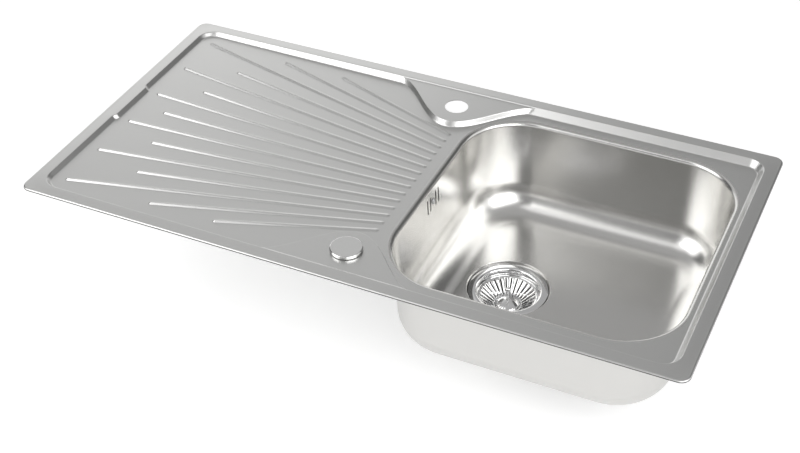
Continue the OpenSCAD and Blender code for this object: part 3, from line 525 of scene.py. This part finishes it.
def make_deck():
    """Pressed deck: the surface from rim to bowl, its underside and the rolled edge."""
    base, out = columns(DECK_LEN, DECK_WID, RIM_CORNER_R, arc_steps=8, run=16.0)
    edge = base + (RIM_CORNER_R - EDGE_R) * out
    bowl_base, bowl_out = bowl_columns()
    mouth = bowl_base + (BOWL_R + LIP_R) * bowl_out
    taps = [circle(0, s * TAP_Y, TAP_R, TAP_STEPS) for s in (-1, 1)]
    lines = [part for row, closed in deck_lines()
             for part in runs_of(row, closed, off_openings(row))]
    grid = grid_points(*DECK_GRID)
    fill = far_from(grid[off_openings(grid)], np.concatenate([row for row, _ in lines]),
                    DECK_FILL_GAP)
    xy, tris, ids = web([edge, mouth, *taps], lines, fill)
    z = deck_height(xy[:, 0], xy[:, 1])
    for tap_ids in ids[2:]:
        z[tap_ids] -= TAP_SINK
    normals = deck_normals(xy[:, 0], xy[:, 1])
    skin = Skin()
    upper = skin.add(np.column_stack([xy, z]))
    lower = skin.add(np.column_stack([xy, z - SHEET]))
    skin.face(upper[tris], normals[tris])
    skin.face(lower[tris], -normals[tris])
    for k, loop in enumerate(ids[1:]):
        middle = (BOWL_X, 0) if k == 0 else (0, (-1, 1)[k - 1] * TAP_Y)
        inward = unit(np.column_stack([np.array(middle) - xy[loop], np.zeros(len(loop))]))
        skin.strip(upper[loop], lower[loop], inward, inward)
    loops, slopes = [], []
    for k in range(EDGE_STEPS + 1):
        a = math.radians(90 * (1 - k / EDGE_STEPS))
        loops.append(ring_of(base, out, RIM_CORNER_R, EDGE_R * (math.cos(a) - 1),
                             EDGE_TOP - EDGE_R + EDGE_R * math.sin(a)))
        slopes.append(with_up(out, math.cos(a), math.sin(a)))
    hem = ((0, EDGE_GAP + EDGE_HEM, 1, 0), (-EDGE_HEM, EDGE_GAP, 0, -1), (-SHEET, EDGE_GAP, 0, -1))
    for offset, z_edge, level, rise in hem:
        loops.append(ring_of(base, out, RIM_CORNER_R, offset, z_edge))
        slopes.append(with_up(out, level, rise))
    rows = [upper[ids[0]]] + [skin.add(loop) for loop in loops[1:]]
    for i in range(len(rows) - 1):
        skin.strip(rows[i], rows[i + 1], slopes[i], slopes[i + 1])
    inner_r = EDGE_R - SHEET
    last = rows[-1]
    previous = with_up(out, -1, 0)
    for k in range(EDGE_STEPS // 2 + 1):
        a = math.radians(90 * k / (EDGE_STEPS // 2))
        slope = with_up(out, -math.cos(a), -math.sin(a))
        if k == EDGE_STEPS // 2:
            row = lower[ids[0]]
        else:
            row = skin.add(ring_of(base, out, RIM_CORNER_R, -EDGE_R + inner_r * math.cos(a),
                                   EDGE_TOP - EDGE_R + inner_r * math.sin(a)))
        skin.strip(last, row, previous, slope)
        last, previous = row, slope
    return skin.make("pressed_deck")


def wall_offset(z):
    """Outward offset of the bowl's inner wall at height z."""
    return -(LIP_Z - z) * math.tan(DRAFT)


def bowl_sections():
    """Inner section of the bowl from the lip to the floor: offsets, heights and normals."""
    rows = []
    for k in range(LIP_STEPS + 1):
        a = math.radians(90 + (90 - math.degrees(DRAFT)) * k / LIP_STEPS)
        level, rise = math.cos(a), math.sin(a)
        rows.append((LIP_R + LIP_R * level, LIP_Z + LIP_R * rise, level, rise))
    for z in (PATCH_TOP, PATCH_FOOT, *WALL_ROWS):
        rows.append((wall_offset(z), z, -math.cos(DRAFT), math.sin(DRAFT)))
    for k in range(FILLET_STEPS + 1):
        a = -DRAFT - (math.pi / 2 - DRAFT) * k / FILLET_STEPS
        level, rise = math.cos(a), math.sin(a)
        rows.append((FILLET_X + FLOOR_R * level, FILLET_Z + FLOOR_R * rise, -level, -rise))
    return rows


def slot_outline(y, w, h, steps=8):
    """Outline of an upright slot in y and z, anticlockwise."""
    points = []
    for s, start in ((1, 0), (-1, 180)):
        for k in range(steps + 1):
            a = math.radians(start + 180 * k / steps)
            middle_z = OVERFLOW_Z + s * (h - w) / 2
            points.append((y + w / 2 * math.cos(a), middle_z + w / 2 * math.sin(a)))
    return np.array(points)


def make_bowl():
    """Pressed bowl: inner and outer side, the overflow's openings and the waste's seat."""
    base, out = bowl_columns()
    skin = Skin()
    sections = bowl_sections()
    patch_row = LIP_STEPS + 1
    patch_columns = np.where((out[:, 0] < -0.999) & (np.abs(base[:, 1]) <= PATCH_HALF + 0.1))[0]
    seat = np.linspace(SEAT_TOP_R, SEAT_FOOT_R, SEAT_ROWS + 1)
    seat_drop = BOWL_Z - SEAT_Z
    way = spokes(full_turn(SEAT_STEPS))
    sides = []
    for inside in (True, False):
        t = 0 if inside else SHEET
        flip = 1 if inside else -1
        rows, slopes = [], []
        for offset, z, level, rise in sections:
            rows.append(ring_of(base, out, BOWL_R, offset - t * level, z - t * rise))
            slopes.append(flip * with_up(out, level, rise))
        ids = [skin.add(row) for row in rows]
        beside_patch = np.setdiff1d(np.arange(len(base)), patch_columns[:-1])
        for i in range(len(ids) - 1):
            only = beside_patch if i == patch_row else None
            skin.strip(ids[i], ids[i + 1], slopes[i], slopes[i + 1], only=only)
        # The patch, with the overflow's slots and screw hole
        high, low = ids[patch_row][patch_columns], ids[patch_row + 1][patch_columns]
        border_ids = np.concatenate([high, low[::-1]])
        points = np.concatenate(skin.points)
        border = points[border_ids][:, 1:]
        slots = [slot_outline(k * SLOT_PITCH, SLOT_W, SLOT_H) for k in SLOT_PLACES]
        slots.append(circle(0, OVERFLOW_Z, OVERFLOW_HOLE_R, OVERFLOW_HOLE_STEPS))
        yz, tris, loop_ids = web([border, *slots])
        p = points[border_ids[0]]
        q = points[border_ids[-1]]
        x = p[0] + (yz[:, 1] - p[2]) * (q[0] - p[0]) / (q[2] - p[2])
        place = skin.add(np.column_stack([x, yz]))
        place[loop_ids[0]] = border_ids
        wall_normal = flip * np.array([math.cos(DRAFT), 0, math.sin(DRAFT)])
        skin.face(place[tris], np.broadcast_to(wall_normal, (len(tris), 3, 3)))
        # Floor, and the seat pressed round the waste
        ring = circle(WASTE_X, 0, SEAT_TOP_R, SEAT_STEPS)
        rim = rows[-1][:, :2]
        fill = far_from(grid_points(*BOWL_GRID), np.concatenate([rim, ring]), BOWL_FILL_GAP)
        fill = fill[np.hypot(fill[:, 0] - WASTE_X, fill[:, 1]) > SEAT_TOP_R]
        xy, tris, edge_ids = web([rim, ring], extra=fill)
        floor_place = skin.add(np.column_stack([xy, np.full(len(xy), BOWL_Z - t)]))
        floor_place[edge_ids[0]] = ids[-1]
        skin.face(floor_place[tris], np.broadcast_to(flip * UP, (len(tris), 3, 3)))
        last, last_n = floor_place[edge_ids[1]], np.broadcast_to(flip * UP, (SEAT_STEPS, 3))
        for r in [*seat[1:], SEAT_HOLE_R]:
            share = (SEAT_TOP_R - r) / (SEAT_TOP_R - SEAT_FOOT_R)
            z = BOWL_Z - t - seat_drop * float(smooth_step(share))
            slope = 0
            if 0 < share < 1:
                slope = 6 * share * (1 - share) * seat_drop / (SEAT_TOP_R - SEAT_FOOT_R)
            row = skin.add(np.column_stack([r * way, np.full(SEAT_STEPS, z)]) + (WASTE_X, 0, 0))
            n_row = flip * unit(np.column_stack([-slope * way, np.ones(SEAT_STEPS)]))
            skin.strip(last, row, last_n, n_row)
            last, last_n = row, n_row
        sides.append((ids[0], [place[i] for i in loop_ids[1:]], last))
    (lip_a, slots_a, hole_a), (lip_b, slots_b, hole_b) = sides
    outward = np.column_stack([out, np.zeros(len(out))])
    skin.strip(lip_a, lip_b, outward, outward)
    inward = np.column_stack([-way, np.zeros(SEAT_STEPS)])
    skin.strip(hole_a, hole_b, inward, inward)
    points = np.concatenate(skin.points)
    for a, b in zip(slots_a, slots_b):
        middle = points[a].mean(0)
        n = points[a] - middle
        n[:, 0] = 0
        n[:, 2] *= 1 if len(a) == OVERFLOW_HOLE_STEPS else SLOT_W / SLOT_H
        n = -unit(n)
        skin.strip(a, b, n, n)
    return skin.make("pressed_bowl")


def sector(r_in, r_out, start, angle, steps=8):
    """Outline of a ring's sector."""
    way = spokes(np.radians(start + angle * np.arange(steps + 1) / steps))
    return np.concatenate([r_out * way, (r_in * way)[::-1]])


def make_waste():
    """Flange, rolled throat and the grid at its foot."""
    skin = Skin()
    wall = FLANGE_T
    roll = np.radians(np.linspace(180, 90, 9))
    inner = np.column_stack([THROAT_R + THROAT_ROUND * (1 + np.cos(roll)),
                             FLANGE_Z - THROAT_ROUND * (1 - np.sin(roll))])
    small = THROAT_ROUND - wall
    outer = np.column_stack([THROAT_R + THROAT_ROUND + small * np.cos(roll),
                             FLANGE_Z - THROAT_ROUND + small * np.sin(roll)])[::-1]
    lip = [(FLANGE_R - 0.5, FLANGE_Z), (FLANGE_R - 0.15, FLANGE_Z - 0.15),
           (FLANGE_R, FLANGE_Z - 0.5), (FLANGE_R, FLANGE_Z - wall)]
    outline = [(THROAT_R, THROAT_Z), (THROAT_R, THROAT_Z + THROAT_ROW), *inner, *lip, *outer,
               (THROAT_R + wall, THROAT_Z - wall)]
    rings = skin.spin(outline[::-1], (WASTE_X, 0, 0), WASTE_STEPS, closed=False)
    holes = [sector(DRAIN_IN, DRAIN_OUT, 360 * k / DRAINS, DRAIN_ANGLE) for k in range(DRAINS)]
    holes = [hole + (WASTE_X, 0) for hole in holes] + [circle(WASTE_X, 0, SCREW_R, 24)]
    sides = []
    for rim, z, way in ((rings[-1], THROAT_Z, 1), (rings[0], THROAT_Z - wall, -1)):
        border = np.concatenate(skin.points)[rim][:, :2]
        xy, tris, ids = web([border, *holes])
        place = skin.add(np.column_stack([xy, np.full(len(xy), z)]))
        place[ids[0]] = rim
        skin.face(place[tris], np.broadcast_to(way * UP, (len(tris), 3, 3)))
        sides.append([place[i] for i in ids[1:]])
    points = np.concatenate(skin.points)
    for a, b in zip(*sides):
        n = points[a].mean(0) - points[a]
        n = unit(n)
        skin.strip(a, b, n, n)
    return skin.make("waste_strainer")


def make_basket():
    """Basket of pressed steel: rim, slotted cone, foot and a low dome in the middle."""
    skin = Skin()
    rim_z = BASKET_Z + BASKET_H
    foot_z = BASKET_Z + BASKET_T
    cone = [(BASKET_WALL_R + (BASKET_FOOT_R - BASKET_WALL_R) * t,
             rim_z + (foot_z - rim_z) * t) for t in np.linspace(SLOT_FROM, SLOT_TO, 9)]
    dome = [(DOME_R * math.cos(t), foot_z + (DOME_H - DOME_DIP) * math.sin(t) ** DOME_EASE)
            for t in np.linspace(0, math.pi / 2 - DOME_OPEN, 12)]
    rim = [(BASKET_RIM_R, rim_z - BASKET_T), (BASKET_RIM_R, rim_z - BASKET_EDGE),
           (BASKET_RIM_R - BASKET_EDGE, rim_z), (BASKET_WALL_R + 0.5, rim_z)]
    upper = np.array(rim + cone + [(BASKET_FOOT_R - 1, foot_z)] + dome)
    first = len(rim)
    last = first + len(cone) - 1
    way_in, way_out = outline_normals(upper, closed=False)
    lean = -unit(way_in + way_out)
    # Points for each slot and bar: their places (the slot ends at 1) and the bar's soft edges
    shares = np.array([0, 1, 1.35, 2.0, 2.65, 3.0])
    edge_tilt = np.tile([0.75, -0.75, -0.25, 0, 0.25, 0.75], BASKET_SLOTS)
    per = len(shares)
    steps = BASKET_SLOTS * per
    pitch = 2 * math.pi / BASKET_SLOTS
    slot_columns = np.arange(steps) % per == 0
    sides = []
    for side in (1, -1):
        rows, normals = [], []
        for i, (r, z) in enumerate(upper):
            n_r, n_z = lean[i]
            grip = math.asin(BASKET_SLOT_W / 2 / min(max(r, BASKET_FOOT_R), BASKET_WALL_R))
            if side < 0:
                r, z = r - BASKET_T * n_r, z - BASKET_T * n_z
            spots = np.where(shares <= 1, -grip + 2 * grip * shares,
                             grip + (pitch - 2 * grip) * (shares - 1) / 2)
            ring = spokes((np.arange(BASKET_SLOTS)[:, None] * pitch + spots[None, :]).ravel())
            around = np.column_stack([-ring[:, 1], ring[:, 0]])
            tilt = side * edge_tilt if first <= i <= last else np.zeros(steps)
            sag = SLOT_SAG * np.abs(tilt) if side > 0 else np.zeros(steps)
            reach = r - sag * n_r
            rows.append(skin.add(np.column_stack([
                WASTE_X + reach * ring[:, 0], reach * ring[:, 1], z - sag * n_z])))
            normals.append(unit(np.column_stack([
                side * n_r * ring + tilt[:, None] * around, np.full(steps, side * n_z)])))
        sides.append(rows)
        for i in range(len(rows) - 1):
            only = np.flatnonzero(~slot_columns) if first <= i < last else None
            skin.strip(rows[i], rows[i + 1], normals[i], normals[i + 1], only=only)
    # The slots' sides and ends, and the sheet's edges at the rim and in the middle
    top, under = sides
    points = np.concatenate(skin.points)
    for c in range(0, steps, per):
        for column, way in ((c, 1), (c + 1, -1)):
            a = np.array([top[i][column] for i in range(first, last + 1)])
            b = np.array([under[i][column] for i in range(first, last + 1)])
            n = points[top[last][c + 1]] - points[top[last][c]]
            n = np.broadcast_to(way * unit(n), (len(a), 3))
            skin.strip(a, b, n, n, closed=False)
        for row, way in ((first, 1), (last, -1)):
            a = np.array([top[row][c], top[row][c + 1]])
            b = np.array([under[row][c], under[row][c + 1]])
            n = points[top[last][c]] - points[top[first][c]]
            n = np.broadcast_to(way * unit(n), (2, 3))
            skin.strip(a, b, n, n, closed=False)
    for row, way in ((0, 1), (len(upper) - 1, -1)):
        flat = points[top[row]] - (WASTE_X, 0, 0)
        flat[:, 2] = 0
        n = way * unit(flat)
        skin.strip(top[row], under[row], n, n)
    return skin.make("strainer_basket_fine")


def make_post():
    """The basket's post: flared foot, stem and ball, in one turned outline."""
    skin = Skin()
    apex = BASKET_Z + DOME_H
    neck = math.asin(POST_R / BALL_R)
    ball = [(BALL_R * math.sin(t), apex + POST_H - BALL_R * math.cos(t))
            for t in np.linspace(neck, math.pi, 15)]
    ball[-1] = (0, apex + POST_H + BALL_R)
    flare = [(2 * POST_R - POST_R * math.sin(t), apex + POST_R * (1 - math.cos(t)))
             for t in np.linspace(0, math.pi / 2, 6)]
    outline = [(0, BASKET_Z), (POST_R, BASKET_Z), (POST_R, apex - POST_SINK),
               (2 * POST_R, apex - POST_SINK), *flare, *ball]
    skin.spin(outline, (WASTE_X, 0, 0), POST_STEPS)
    return skin.make("basket_post_fine")


def make_cap():
    """Cap over the front tap hole, with a soft edge and its stud."""
    skin = Skin()
    base = LEDGE_Z + CAP_SEAL_T
    hole = TAP_R - CAP_PLAY
    foot = TOP - SHEET - CAP_SPIGOT
    outline = rounded([
        (CAP_STUD_R, foot, 0), (hole, foot, 0), (hole, base, 0), (CAP_R, base, CAP_FOOT_R),
        (CAP_R, base + CAP_H, CAP_EDGE_R), (CAP_R - CAP_EDGE_W, base + CAP_H, 0)])
    stud_foot = foot - CAP_STUD_LEN
    outline = [(0, stud_foot), (CAP_STUD_R, stud_foot), *outline, (0, base + CAP_H)]
    skin.spin(outline, (0, -TAP_Y, 0), CAP_STEPS)
    return skin.make("cap_fine")


def hose_place(s, drop, arc, start_x):
    """Point and direction of the hose's middle line at length s, in the X and Z plane."""
    a = math.radians(90) * min(1, max(0, (s - drop) / arc))
    x = start_x + HOSE_BEND * (1 - math.cos(a)) + max(0, s - drop - arc)
    z = PORT_Z + HOSE_BEND * (1 - math.sin(a)) + max(0, drop - s)
    return np.array([x, 0, z]), np.array([math.sin(a), 0, -math.cos(a)])


def hose_route():
    """Places where the overflow hose begins, bends and ends."""
    wall_x = BOWL_X - BOWL_SIZE / 2 - wall_offset(OVERFLOW_Z) - SHEET / math.cos(DRAFT)
    start_x = wall_x - HOSE_FROM_WALL
    drop = HOSE_TOP_Z - PORT_Z - HOSE_BEND
    arc = HOSE_BEND * math.pi / 2
    end_x = WASTE_X - THROAT_R - FLANGE_T - HOSE_FROM_WASTE
    return start_x, drop, arc, drop + arc + end_x - start_x - HOSE_BEND


def make_hose():
    """Corrugated overflow hose with plain ends."""
    start_x, drop, arc, length = hose_route()
    skin = Skin()
    ribs = round((length - 2 * HOSE_PLAIN) / HOSE_RIB)
    stops = [0, 6, 12, HOSE_PLAIN - 1]
    stops += list(np.linspace(HOSE_PLAIN, length - HOSE_PLAIN, 8 * ribs + 1))
    stops += [length - HOSE_PLAIN + 1, length - 12, length - 6, length]

    def outer_radius(s):
        if not HOSE_PLAIN <= s <= length - HOSE_PLAIN:
            return HOSE_END_R
        wave = max(0, math.sin(math.pi * ((s - HOSE_PLAIN) / (length - 2 * HOSE_PLAIN) * ribs % 1)))
        return HOSE_END_R + (HOSE_R - HOSE_END_R) * wave ** HOSE_EASE

    outer = [(s, outer_radius(s)) for s in stops]
    inner = [(s, HOSE_BORE_R) for s in np.linspace(length, 0, 40)]
    outline = np.array(outer + inner)
    entering, leaving = outline_normals(outline)
    entering, leaving = -entering, -leaving
    a = full_turn(HOSE_STEPS)
    rows, before, after = [], [], []
    for (s, r), n_in, n_out in zip(outline, entering, leaving):
        middle, way = hose_place(s, drop, arc, start_x)
        across = np.array([-way[2], 0, way[0]])
        ring = np.cos(a)[:, None] * across + np.sin(a)[:, None] * np.array([0, 1.0, 0])
        rows.append(skin.add(middle + r * ring))
        before.append(n_in[1] * ring + n_in[0] * way)
        after.append(n_out[1] * ring + n_out[0] * way)
    for i in range(len(rows)):
        k = (i + 1) % len(rows)
        skin.strip(rows[i], rows[k], after[i], before[k])
    return skin.make("corrugated_hose")


def make_seal():
    """Foam strip under the rim, with soft edges."""
    length, width = DECK_LEN - 2 * SEAL_INSET, DECK_WID - 2 * SEAL_INSET
    r = RIM_CORNER_R - SEAL_INSET
    base, out = columns(length, width, r, arc_steps=6, run=30.0)
    outline = rounded([(0, 0, SEAL_SOFT), (0, SEAL_H, SEAL_SOFT), (-SEAL_W, SEAL_H, SEAL_SOFT),
                       (-SEAL_W, 0, SEAL_SOFT)], 4)
    skin = Skin()
    entering, leaving = outline_normals(outline)
    rows = [skin.add(ring_of(base, out, r, offset, z)) for offset, z in outline]
    for i in range(len(rows)):
        k = (i + 1) % len(rows)
        skin.strip(rows[i], rows[k], with_up(out, *leaving[i]), with_up(out, *entering[k]))
    return skin.make("foam_seal")


def make_pad():
    """Damping sheet under the bowl, with soft edges."""
    skin = Skin()
    middle_x = (WASTE_X + PAD_FROM_WASTE + BOWL_X + BOWL_SIZE / 2 + FILLET_X) / 2
    base, out = columns(*PAD_SIZE, PAD_CORNER, arc_steps=6, run=20.0)
    base = base + (middle_x, 0)
    top_z, foot_z = BOWL_Z - SHEET, BOWL_Z - SHEET - PAD_T
    rows, normals = [], []
    for k in range(6):
        a = math.radians(90 * k / 5)
        rows.append(ring_of(base, out, PAD_CORNER, PAD_SOFT * (math.cos(a) - 1),
                            foot_z + PAD_SOFT * (1 - math.sin(a))))
        normals.append(with_up(out, math.cos(a), -math.sin(a)))
    rows.insert(0, ring_of(base, out, PAD_CORNER, 0, top_z))
    normals.insert(0, with_up(out, 1, 0))
    ids = skin.rows(rows, normals)
    for edge, row, way in ((ids[0], rows[0], 1), (ids[-1], rows[-1], -1)):
        fill = grid_points(*PAD_GRID) + (middle_x, 0)
        xy, tris, loop_ids = web([row[:, :2]], extra=fill)
        place = skin.add(np.column_stack([xy, np.full(len(xy), row[0, 2])]))
        place[loop_ids[0]] = edge
        skin.face(place[tris], np.broadcast_to(way * UP, (len(tris), 3, 3)))
    return skin.make("damping_pad")


# Materials

def node_material(name):
    """A new material with its node tree and its shader."""
    m = bpy.data.materials.new(name)
    m.use_nodes = True
    tree = m.node_tree
    return m, tree, tree.nodes["Principled BSDF"]


def grain(tree, shader, scale, strength, distance, roughness, spread):
    """Fine surface grain: noise stretched along X lifts the surface and varies its roughness."""
    coords = tree.nodes.new("ShaderNodeTexCoord")
    mapping = tree.nodes.new("ShaderNodeMapping")
    mapping.inputs["Scale"].default_value = scale
    noise = tree.nodes.new("ShaderNodeTexNoise")
    noise.inputs["Scale"].default_value = 1.0
    noise.inputs["Detail"].default_value = 3.0
    bump = tree.nodes.new("ShaderNodeBump")
    bump.inputs["Strength"].default_value = strength
    bump.inputs["Distance"].default_value = distance
    levels = tree.nodes.new("ShaderNodeMapRange")
    levels.inputs["To Min"].default_value = roughness - spread
    levels.inputs["To Max"].default_value = roughness + spread
    link = tree.links.new
    link(coords.outputs["Object"], mapping.inputs["Vector"])
    link(mapping.outputs["Vector"], noise.inputs["Vector"])
    link(noise.outputs["Fac"], bump.inputs["Height"])
    link(bump.outputs["Normal"], shader.inputs["Normal"])
    link(noise.outputs["Fac"], levels.inputs["Value"])
    link(levels.outputs["Result"], shader.inputs["Roughness"])


def metal(name, color, roughness, spread=0.04, scale=(30, 900, 900), strength=0.05,
          distance=0.0002):
    """Steel or chrome, with a grain along X."""
    m, tree, shader = node_material(name)
    shader.inputs["Base Color"].default_value = (*color, 1)
    shader.inputs["Metallic"].default_value = 1.0
    grain(tree, shader, scale, strength, distance, roughness, spread)
    return m


def plastic(name, color, roughness, spread=0.05, scale=(400, 400, 400), strength=0.08,
            distance=0.0003):
    """Plastic, rubber or foam, with an even grain."""
    m, tree, shader = node_material(name)
    shader.inputs["Base Color"].default_value = (*color, 1)
    grain(tree, shader, scale, strength, distance, roughness, spread)
    return m


MATERIALS = {
    "satin_steel": metal("satin_steel", (0.66, 0.66, 0.65), 0.34),
    "brushed_steel": metal("brushed_steel", (0.68, 0.675, 0.66), 0.24),
    "polished_steel": metal("polished_steel", (0.78, 0.78, 0.77), 0.12, 0.02),
    "galvanised_steel": metal("galvanised_steel", (0.58, 0.59, 0.6), 0.4),
    "clip_steel": metal("clip_steel", (0.55, 0.56, 0.57), 0.36),
    "fastener_steel": metal("fastener_steel", (0.62, 0.62, 0.63), 0.3),
    "matte_steel": metal("matte_steel", (0.6, 0.595, 0.58), 0.36),
    # Near-black steel for the lower rolled edge: painted shade standing in for its dark reflection,
    # not the steel's own colour
    "painted_shade_edge": metal("painted_shade_edge", (0.1, 0.1, 0.1), 0.3),
    "chrome": metal("chrome", (0.82, 0.82, 0.82), 0.06, 0.02, strength=0.01),
    "foam": plastic("foam", (0.05, 0.05, 0.052), 0.9, scale=(1500, 1500, 1500), strength=0.5),
    "black_rubber": plastic("black_rubber", (0.02, 0.02, 0.021), 0.7),
    "white_plastic": plastic("white_plastic", (0.78, 0.78, 0.76), 0.45),
    "hose_plastic": plastic("hose_plastic", (0.62, 0.62, 0.6), 0.5),
    "damping_sheet": plastic("damping_sheet", (0.03, 0.03, 0.032), 0.85, scale=(900, 900, 900),
                             strength=0.4),
}
slots = {s["node"]: s["material_slot"] for s in frame["record"]["subparts"]}
for node, obj in frame["nodes"].items():
    obj.data.materials.clear()
    obj.data.materials.append(MATERIALS[slots[node]])


def dress(obj, body, slot, *nodes):
    """Gives a piece its body, finish and the nodes that it stands for."""
    obj.data.materials.append(MATERIALS[slot])
    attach(obj, body)
    if nodes:
        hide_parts(*nodes)


def refinish(obj, finish, choose):
    """Gives a second finish to the faces that choose picks by centre (mm) and normal."""
    mesh = obj.data
    count = len(mesh.polygons)
    centres, normals = np.empty(3 * count), np.empty(3 * count)
    mesh.polygons.foreach_get("center", centres)
    mesh.polygons.foreach_get("normal", normals)
    mesh.materials.append(MATERIALS[finish])
    picked = choose(centres.reshape(-1, 3) / MM, normals.reshape(-1, 3))
    mesh.polygons.foreach_set("material_index", picked.astype(np.int32))


def on_painted_shade_edge(centres, _):
    """The lower part of the rolled edge, painted near-black: painted shade standing in for the dark
    reflection under the rim.
    """
    inside = depth_inside(centres[:, 0], centres[:, 1], DECK_LEN, DECK_WID, RIM_CORNER_R)
    return (inside < PAINTED_SHADE_EDGE_REACH) & (centres[:, 2] < PAINTED_SHADE_EDGE_TOP)


def on_bowl_outside(centres, normals):
    """Faces that look away from the bowl's middle, or down where they are nearly level."""
    leaning = (centres[:, 0] - BOWL_X) * normals[:, 0] + centres[:, 1] * normals[:, 1] > 0
    return np.where(np.abs(normals[:, 2]) > 0.7, normals[:, 2] < 0, leaning)


deck = make_deck()
dress(deck, "sink", "satin_steel", "deck")
# Painted shade: the lower part of the rolled edge gets a near-black finish in place of the dark
# reflection under the rim
refinish(deck, "painted_shade_edge", on_painted_shade_edge)
bowl = make_bowl()
dress(bowl, "sink", "brushed_steel", "bowl")
refinish(bowl, "matte_steel", on_bowl_outside)
dress(make_waste(), "sink", "chrome", "waste_flange")
dress(make_basket(), "basket", "chrome", "strainer_basket")
dress(make_post(), "basket", "chrome", "basket_post")
dress(make_cap(), "sink", "polished_steel", "tap_hole_cap")
dress(make_hose(), "sink", "hose_plastic", "overflow_hose")
dress(make_seal(), "sink", "foam", "rim_seal")
dress(make_pad(), "sink", "damping_sheet", "sound_pad")


# Floor, light and camera

FLOOR_SIZE, FLOOR_GAP, FLOOR_COLOR, FLOOR_GLOW = 12.0, 0.001, (0.86, 0.86, 0.86), 0.42
PANEL_ROUGHNESS = 0.9
WORLD_LIGHT, WORLD_SEEN = 0.4, 1.0


def toward(azimuth, elevation):
    """Unit vector in a direction; azimuth runs from the back towards the right, in degrees."""
    a, e = math.radians(azimuth), math.radians(elevation)
    return Vector((math.sin(a) * math.cos(e), math.cos(a) * math.cos(e), math.sin(e)))


def stage_plane(name, size, place, normal, color, glow=0.0):
    """A square panel that isn't part of the sink."""
    mesh = bpy.data.meshes.new(name)
    h = size / 2
    mesh.from_pydata([(-h, -h, 0), (h, -h, 0), (h, h, 0), (-h, h, 0)], [], [(0, 1, 2, 3)])
    obj = bpy.data.objects.new(name, mesh)
    bpy.context.scene.collection.objects.link(obj)
    obj.location = place
    obj.rotation_euler = Vector(normal).to_track_quat("Z", "Y").to_euler()
    m, tree, shader = node_material(name)
    shader.inputs["Base Color"].default_value = (*color, 1)
    shader.inputs["Roughness"].default_value = PANEL_ROUGHNESS
    shader.inputs["Emission Color"].default_value = (1, 1, 1, 1)
    shader.inputs["Emission Strength"].default_value = glow
    mesh.materials.append(m)
    return obj


def seen_directly(tree):
    """1 for camera, glossy and transmission rays, otherwise 0."""
    path = tree.nodes.new("ShaderNodeLightPath")
    first = tree.nodes.new("ShaderNodeMath")
    second = tree.nodes.new("ShaderNodeMath")
    first.operation = second.operation = "MAXIMUM"
    tree.links.new(path.outputs["Is Camera Ray"], first.inputs[0])
    tree.links.new(path.outputs["Is Glossy Ray"], first.inputs[1])
    tree.links.new(first.outputs[0], second.inputs[0])
    tree.links.new(path.outputs["Is Transmission Ray"], second.inputs[1])
    return second.outputs[0]


floor_place = (0, 0, cad_box[0][2] - FLOOR_GAP)
floor = stage_plane("floor", FLOOR_SIZE, floor_place, (0, 0, 1), FLOOR_COLOR)
floor_tree = floor.data.materials[0].node_tree
floor_shader = floor_tree.nodes["Principled BSDF"]
boost = floor_tree.nodes.new("ShaderNodeMath")
boost.operation = "MULTIPLY"
boost.inputs[1].default_value = FLOOR_GLOW
floor_tree.links.new(seen_directly(floor_tree), boost.inputs[0])
floor_tree.links.new(boost.outputs[0], floor_shader.inputs["Emission Strength"])

world = bpy.data.worlds.new("studio")
bpy.context.scene.world = world
world.use_nodes = True
tree = world.node_tree
back = tree.nodes["Background"]
back.inputs["Color"].default_value = (1, 1, 1, 1)
ramp = tree.nodes.new("ShaderNodeMapRange")
ramp.inputs["To Min"].default_value = WORLD_LIGHT
ramp.inputs["To Max"].default_value = WORLD_SEEN
tree.links.new(seen_directly(tree), ramp.inputs["Value"])
tree.links.new(ramp.outputs["Result"], back.inputs["Strength"])


def soft_light(name, azimuth, elevation, distance, size, power):
    """An area light that looks at the origin."""
    place = toward(azimuth, elevation) * distance
    light = bpy.data.lights.new(name, "AREA")
    light.shape = "RECTANGLE"
    light.size, light.size_y = size
    light.energy = power
    obj = bpy.data.objects.new(name, light)
    bpy.context.scene.collection.objects.link(obj)
    obj.location = place
    obj.rotation_euler = place.to_track_quat("Z", "Y").to_euler()


def card(name, azimuth, elevation, distance, width, height, level):
    """A panel that the sink mirrors, of an even level and unseen by the camera."""
    way = toward(azimuth, elevation)
    obj = stage_plane(name, 1.0, way * distance, -way, (0, 0, 0), level)
    obj.scale = (width, height, 1)
    obj.visible_camera = False


card("card_back_left", -43, 42, 3.0, 2.6, 2.4, 0.57)
card("card_back_left_low", -37, 13, 2.8, 2.6, 1.65, 1.2)
card("card_back", -6, 36, 3.0, 1.3, 2.8, 0.42)
card("card_back_right", 32, 26, 3.0, 2.4, 3.3, 0.12)
card("card_left", -87, 23, 2.9, 2.5, 3.3, 0.07)
card("card_front", 178, 40, 2.9, 1.9, 2.2, 0.28)
card("card_front_high", -156, 65, 2.5, 1.1, 0.7, 1.2)
card("card_above", 0, 90, 2.6, 7.0, 7.0, 0.45)
soft_light("light_right", 122, 34, 2.4, (2.4, 1.7), 32)
soft_light("light_left", -129, 37, 2.4, (1.9, 1.8), 24)

CAMERA_PLACE = (0.69503, -1.48857, 1.20441)
CAMERA_AZIMUTH, CAMERA_ELEVATION, CAMERA_ROLL = 25.3224, 38.3162, -0.9158
CAMERA_LENS = 64.573
CAMERA_SENSOR = 36.0
camera_data = bpy.data.cameras.new("camera")
camera_data.sensor_width = CAMERA_SENSOR
camera_data.lens = CAMERA_LENS
camera = bpy.data.objects.new("camera", camera_data)
bpy.context.scene.collection.objects.link(camera)
camera.matrix_world = (
    Matrix.Translation(CAMERA_PLACE)
    @ Matrix.Rotation(math.radians(CAMERA_AZIMUTH), 4, "Z")
    @ Matrix.Rotation(math.radians(90 - CAMERA_ELEVATION), 4, "X")
    @ Matrix.Rotation(math.radians(CAMERA_ROLL), 4, "Z")
)
bpy.context.scene.camera = camera
bpy.context.scene.view_settings.view_transform = "Standard"
